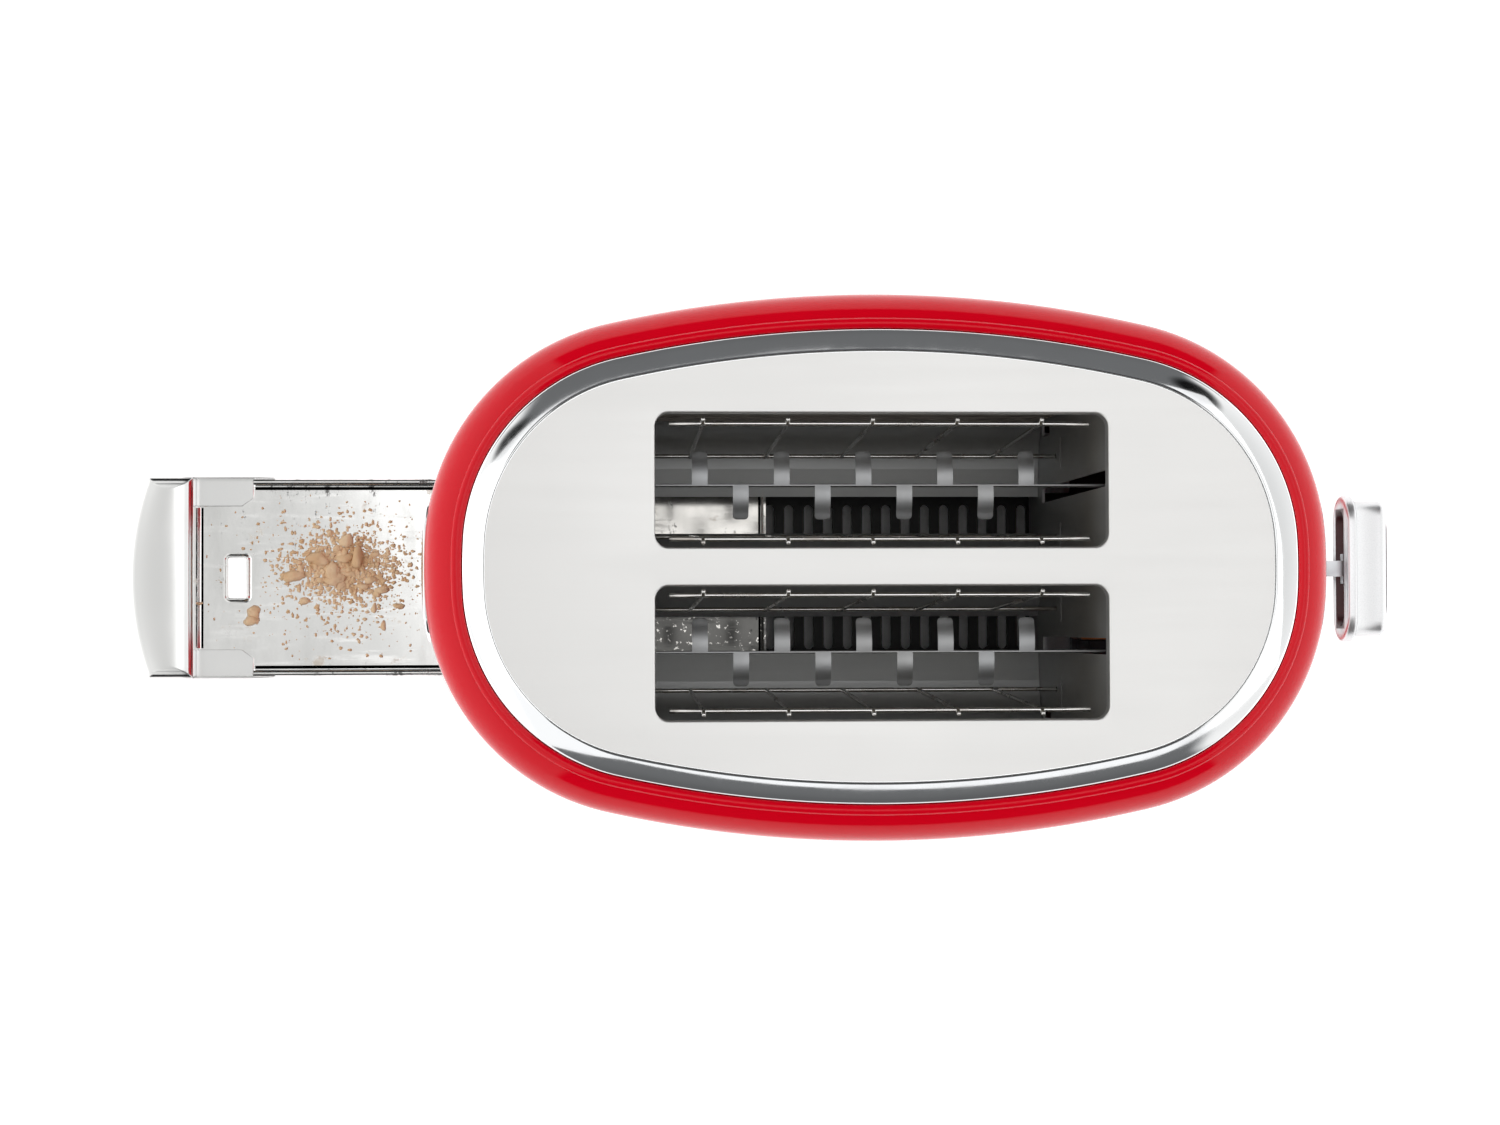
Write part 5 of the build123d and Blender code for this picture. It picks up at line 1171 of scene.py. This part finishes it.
brass = Finish("bush_brass", Metallic=1.0)
turned = brass.noise(800.0, 2.0, 0.5, (0.05, 0.05, 1.0))
brass.set("Base_Color", brass.blend(turned, (0.72, 0.52, 0.22), (0.55, 0.38, 0.16)))
brass.set("Roughness", turned * 0.15 + 0.2)
brass.set("Normal", brass.bump(turned, 0.00001))

toast = Finish("toast")
bake = toast.noise(420.0, 5.0, 0.65)
piece_tone = toast.noise(110.0, 2.0).above(0.5, 0.16)
pale = toast.blend(bake, (0.78, 0.52, 0.30), (0.95, 0.76, 0.53))
toast.set("Base_Color", toast.blend(piece_tone * 0.45, pale, (0.62, 0.33, 0.12)))
toast.set("Roughness", bake * 0.2 + 0.7)
toast.set("Normal", toast.bump(toast.noise(1500.0, 4.0, 0.6), 0.00022))
print("with the inside:", len(FINISHES), "finishes")

# %% [markdown]
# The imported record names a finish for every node, so one loop gives each CAD part its own. The
# pieces made above carry theirs by name.

# %% Give each node and piece its finish
slots = {row["node"]: row["material_slot"] for row in frame["record"]["subparts"]}
for node, piece in NODES.items():
    piece.data.materials.clear()
    piece.data.materials.append(FINISHES[slots[node]])
for name, finish in PAINT.items():
    bpy.data.objects[name].data.materials.append(FINISHES[finish])
print(len(FINISHES), "finishes on", len(NODES), "nodes")

# %% [markdown]
# The room is a pale floor under a studio dome. Polished metal shows the room more than itself,
# so the dome isn't one flat white: it is bright overhead, at both ends and at the horizon, and
# darker to the two long sides, which is what draws the grey band along a chrome ring.

# %% Floor and dome
def floor_disc(radius, rings, spokes):
    """Flat disc: radius * (ring / rings)^2 in spokes directions, so it is fine near the middle."""
    r = radius * (np.arange(1, rings + 1) / rings) ** 2
    turn = np.linspace(0, 2 * np.pi, spokes, endpoint=False)
    ring_points = np.stack([np.outer(r, np.cos(turn)), np.outer(r, np.sin(turn)), 0 * np.outer(r, turn)], -1)
    points = np.concatenate([np.zeros((1, 3)), ring_points.reshape(-1, 3)])
    first = np.arange(spokes)
    fan = np.stack([0 * first, 1 + first, 1 + (first + 1) % spokes], -1).tolist()
    return points, fan + (grid_faces(rings, spokes, wrap_columns=True)[:, ::-1] + 1).tolist()


floor_mesh = bpy.data.meshes.new("floor")
points, faces = floor_disc(4000, 12, 64)
floor_mesh.from_pydata((points * MM).tolist(), [], faces)
floor_piece = bpy.data.objects.new("floor", floor_mesh)
bpy.context.scene.collection.objects.link(floor_piece)
floor_finish = Finish("floor_paint", Base_Color=(0.9, 0.9, 0.9), Emission_Strength=0.6)
fx, fy = floor_finish.axes()[:2]
# The floor glows evenly white beyond an oval round the toaster's footprint; inside the oval it doesn't glow,
# which is painted shade under the body.
far = (fx * fx / 0.0196 + fy * fy / 0.0076).above(1.0, 0.2)
floor_finish.set("Emission_Color", floor_finish.blend(far, (0, 0, 0), (1, 1, 1)))
floor_finish.set("Roughness", floor_finish.noise(30.0, 4.0) * 0.1 + 0.6)
floor_mesh.materials.append(floor_finish.material)
floor_piece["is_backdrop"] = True

world = bpy.data.worlds.new("studio")
bpy.context.scene.world = world
dome = Tree(world)
direction = dome.node("TexCoord", output=0).socket
split = dome.node("SeparateXYZ", None, {0: Number(dome, direction)}).socket.node
dx, dy, dz = (Number(dome, split.outputs[k]) for k in range(3))
across = dy.size()
window = (across - 0.45).math("MAXIMUM", across - 0.45, 0.0) * 0.9 + 0.22
inside = 1.0 - ((dx - 0.16).size() - window).above(0.0, 0.035)
wall = across.above(0.19, 0.05) * inside * dz.above(0.02, 0.05)
depth = across.above(0.56, 0.12) * 0.14
open_sky = lerp(dz.above(0.935, 0.055), 1.10, 0.80)
end_glow = dx.size().above(0.70, 0.14) * (1.0 - dz.above(0.62, 0.12)) * 0.35
level = (open_sky + end_glow) * (1.0 - wall) + wall * (0.165 - depth)
for place in ((0.387, -0.233, 0.892), (-0.051, -0.361, 0.931)):
    toward = dx * place[0] + dy * place[1] + dz * place[2]
    level = level * (1.0 - toward.above(0.9975, 0.0015) * 0.97)
background = world.node_tree.nodes["Background"]
dome.feed(background.inputs["Color"], dome.blend(wall, (1.0, 1.0, 0.99), (0.96, 0.98, 1.0)))
dome.feed(background.inputs["Strength"], level)
print("floor of", len(points), "points; dome of", len(world.node_tree.nodes), "nodes")

# %% [markdown]
# The dome does nearly all the lighting. One weak square lamp high above the lever end adds a soft
# direction. The camera hangs a metre above the tray's side of the body and looks down.

# %% Lights and camera
def soft_light(name, place, target, size, power):
    """Square area light at a place in metres, turned to its target."""
    light = bpy.data.lights.new(name, "AREA")
    light.size, light.energy = size, power
    lamp = bpy.data.objects.new(name, light)
    bpy.context.scene.collection.objects.link(lamp)
    lamp.location = place
    lamp.rotation_euler = (Vector(target) - Vector(place)).to_track_quat("-Z", "Y").to_euler()
    return lamp


soft_light("top_soft", (0.25, 0.1, 1.7), (0, 0, 0.1), 1.0, 3.0)
camera = bpy.data.cameras.new("camera")
camera.lens, camera.sensor_width = 67.6, 36.0
camera_piece = bpy.data.objects.new("camera", camera)
bpy.context.scene.collection.objects.link(camera_piece)
camera_piece.location = (-0.0882, -0.0169, 1.0167)
camera_piece.rotation_euler = np.radians([1.26609, -3.40090, -0.17647])
bpy.context.scene.camera = camera_piece
bpy.context.scene.view_settings.view_transform = "Standard"
bpy.context.scene.view_settings.look = "None"
print("camera at", tuple(camera_piece.location), "with a lens of", camera.lens, "mm")

# %% [markdown]
# Last, the box of everything shown is measured and printed.

# %% Measure and finish
lo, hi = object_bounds()
print("shown box in mm", np.round(np.array(lo) / MM, 1), np.round(np.array(hi) / MM, 1))
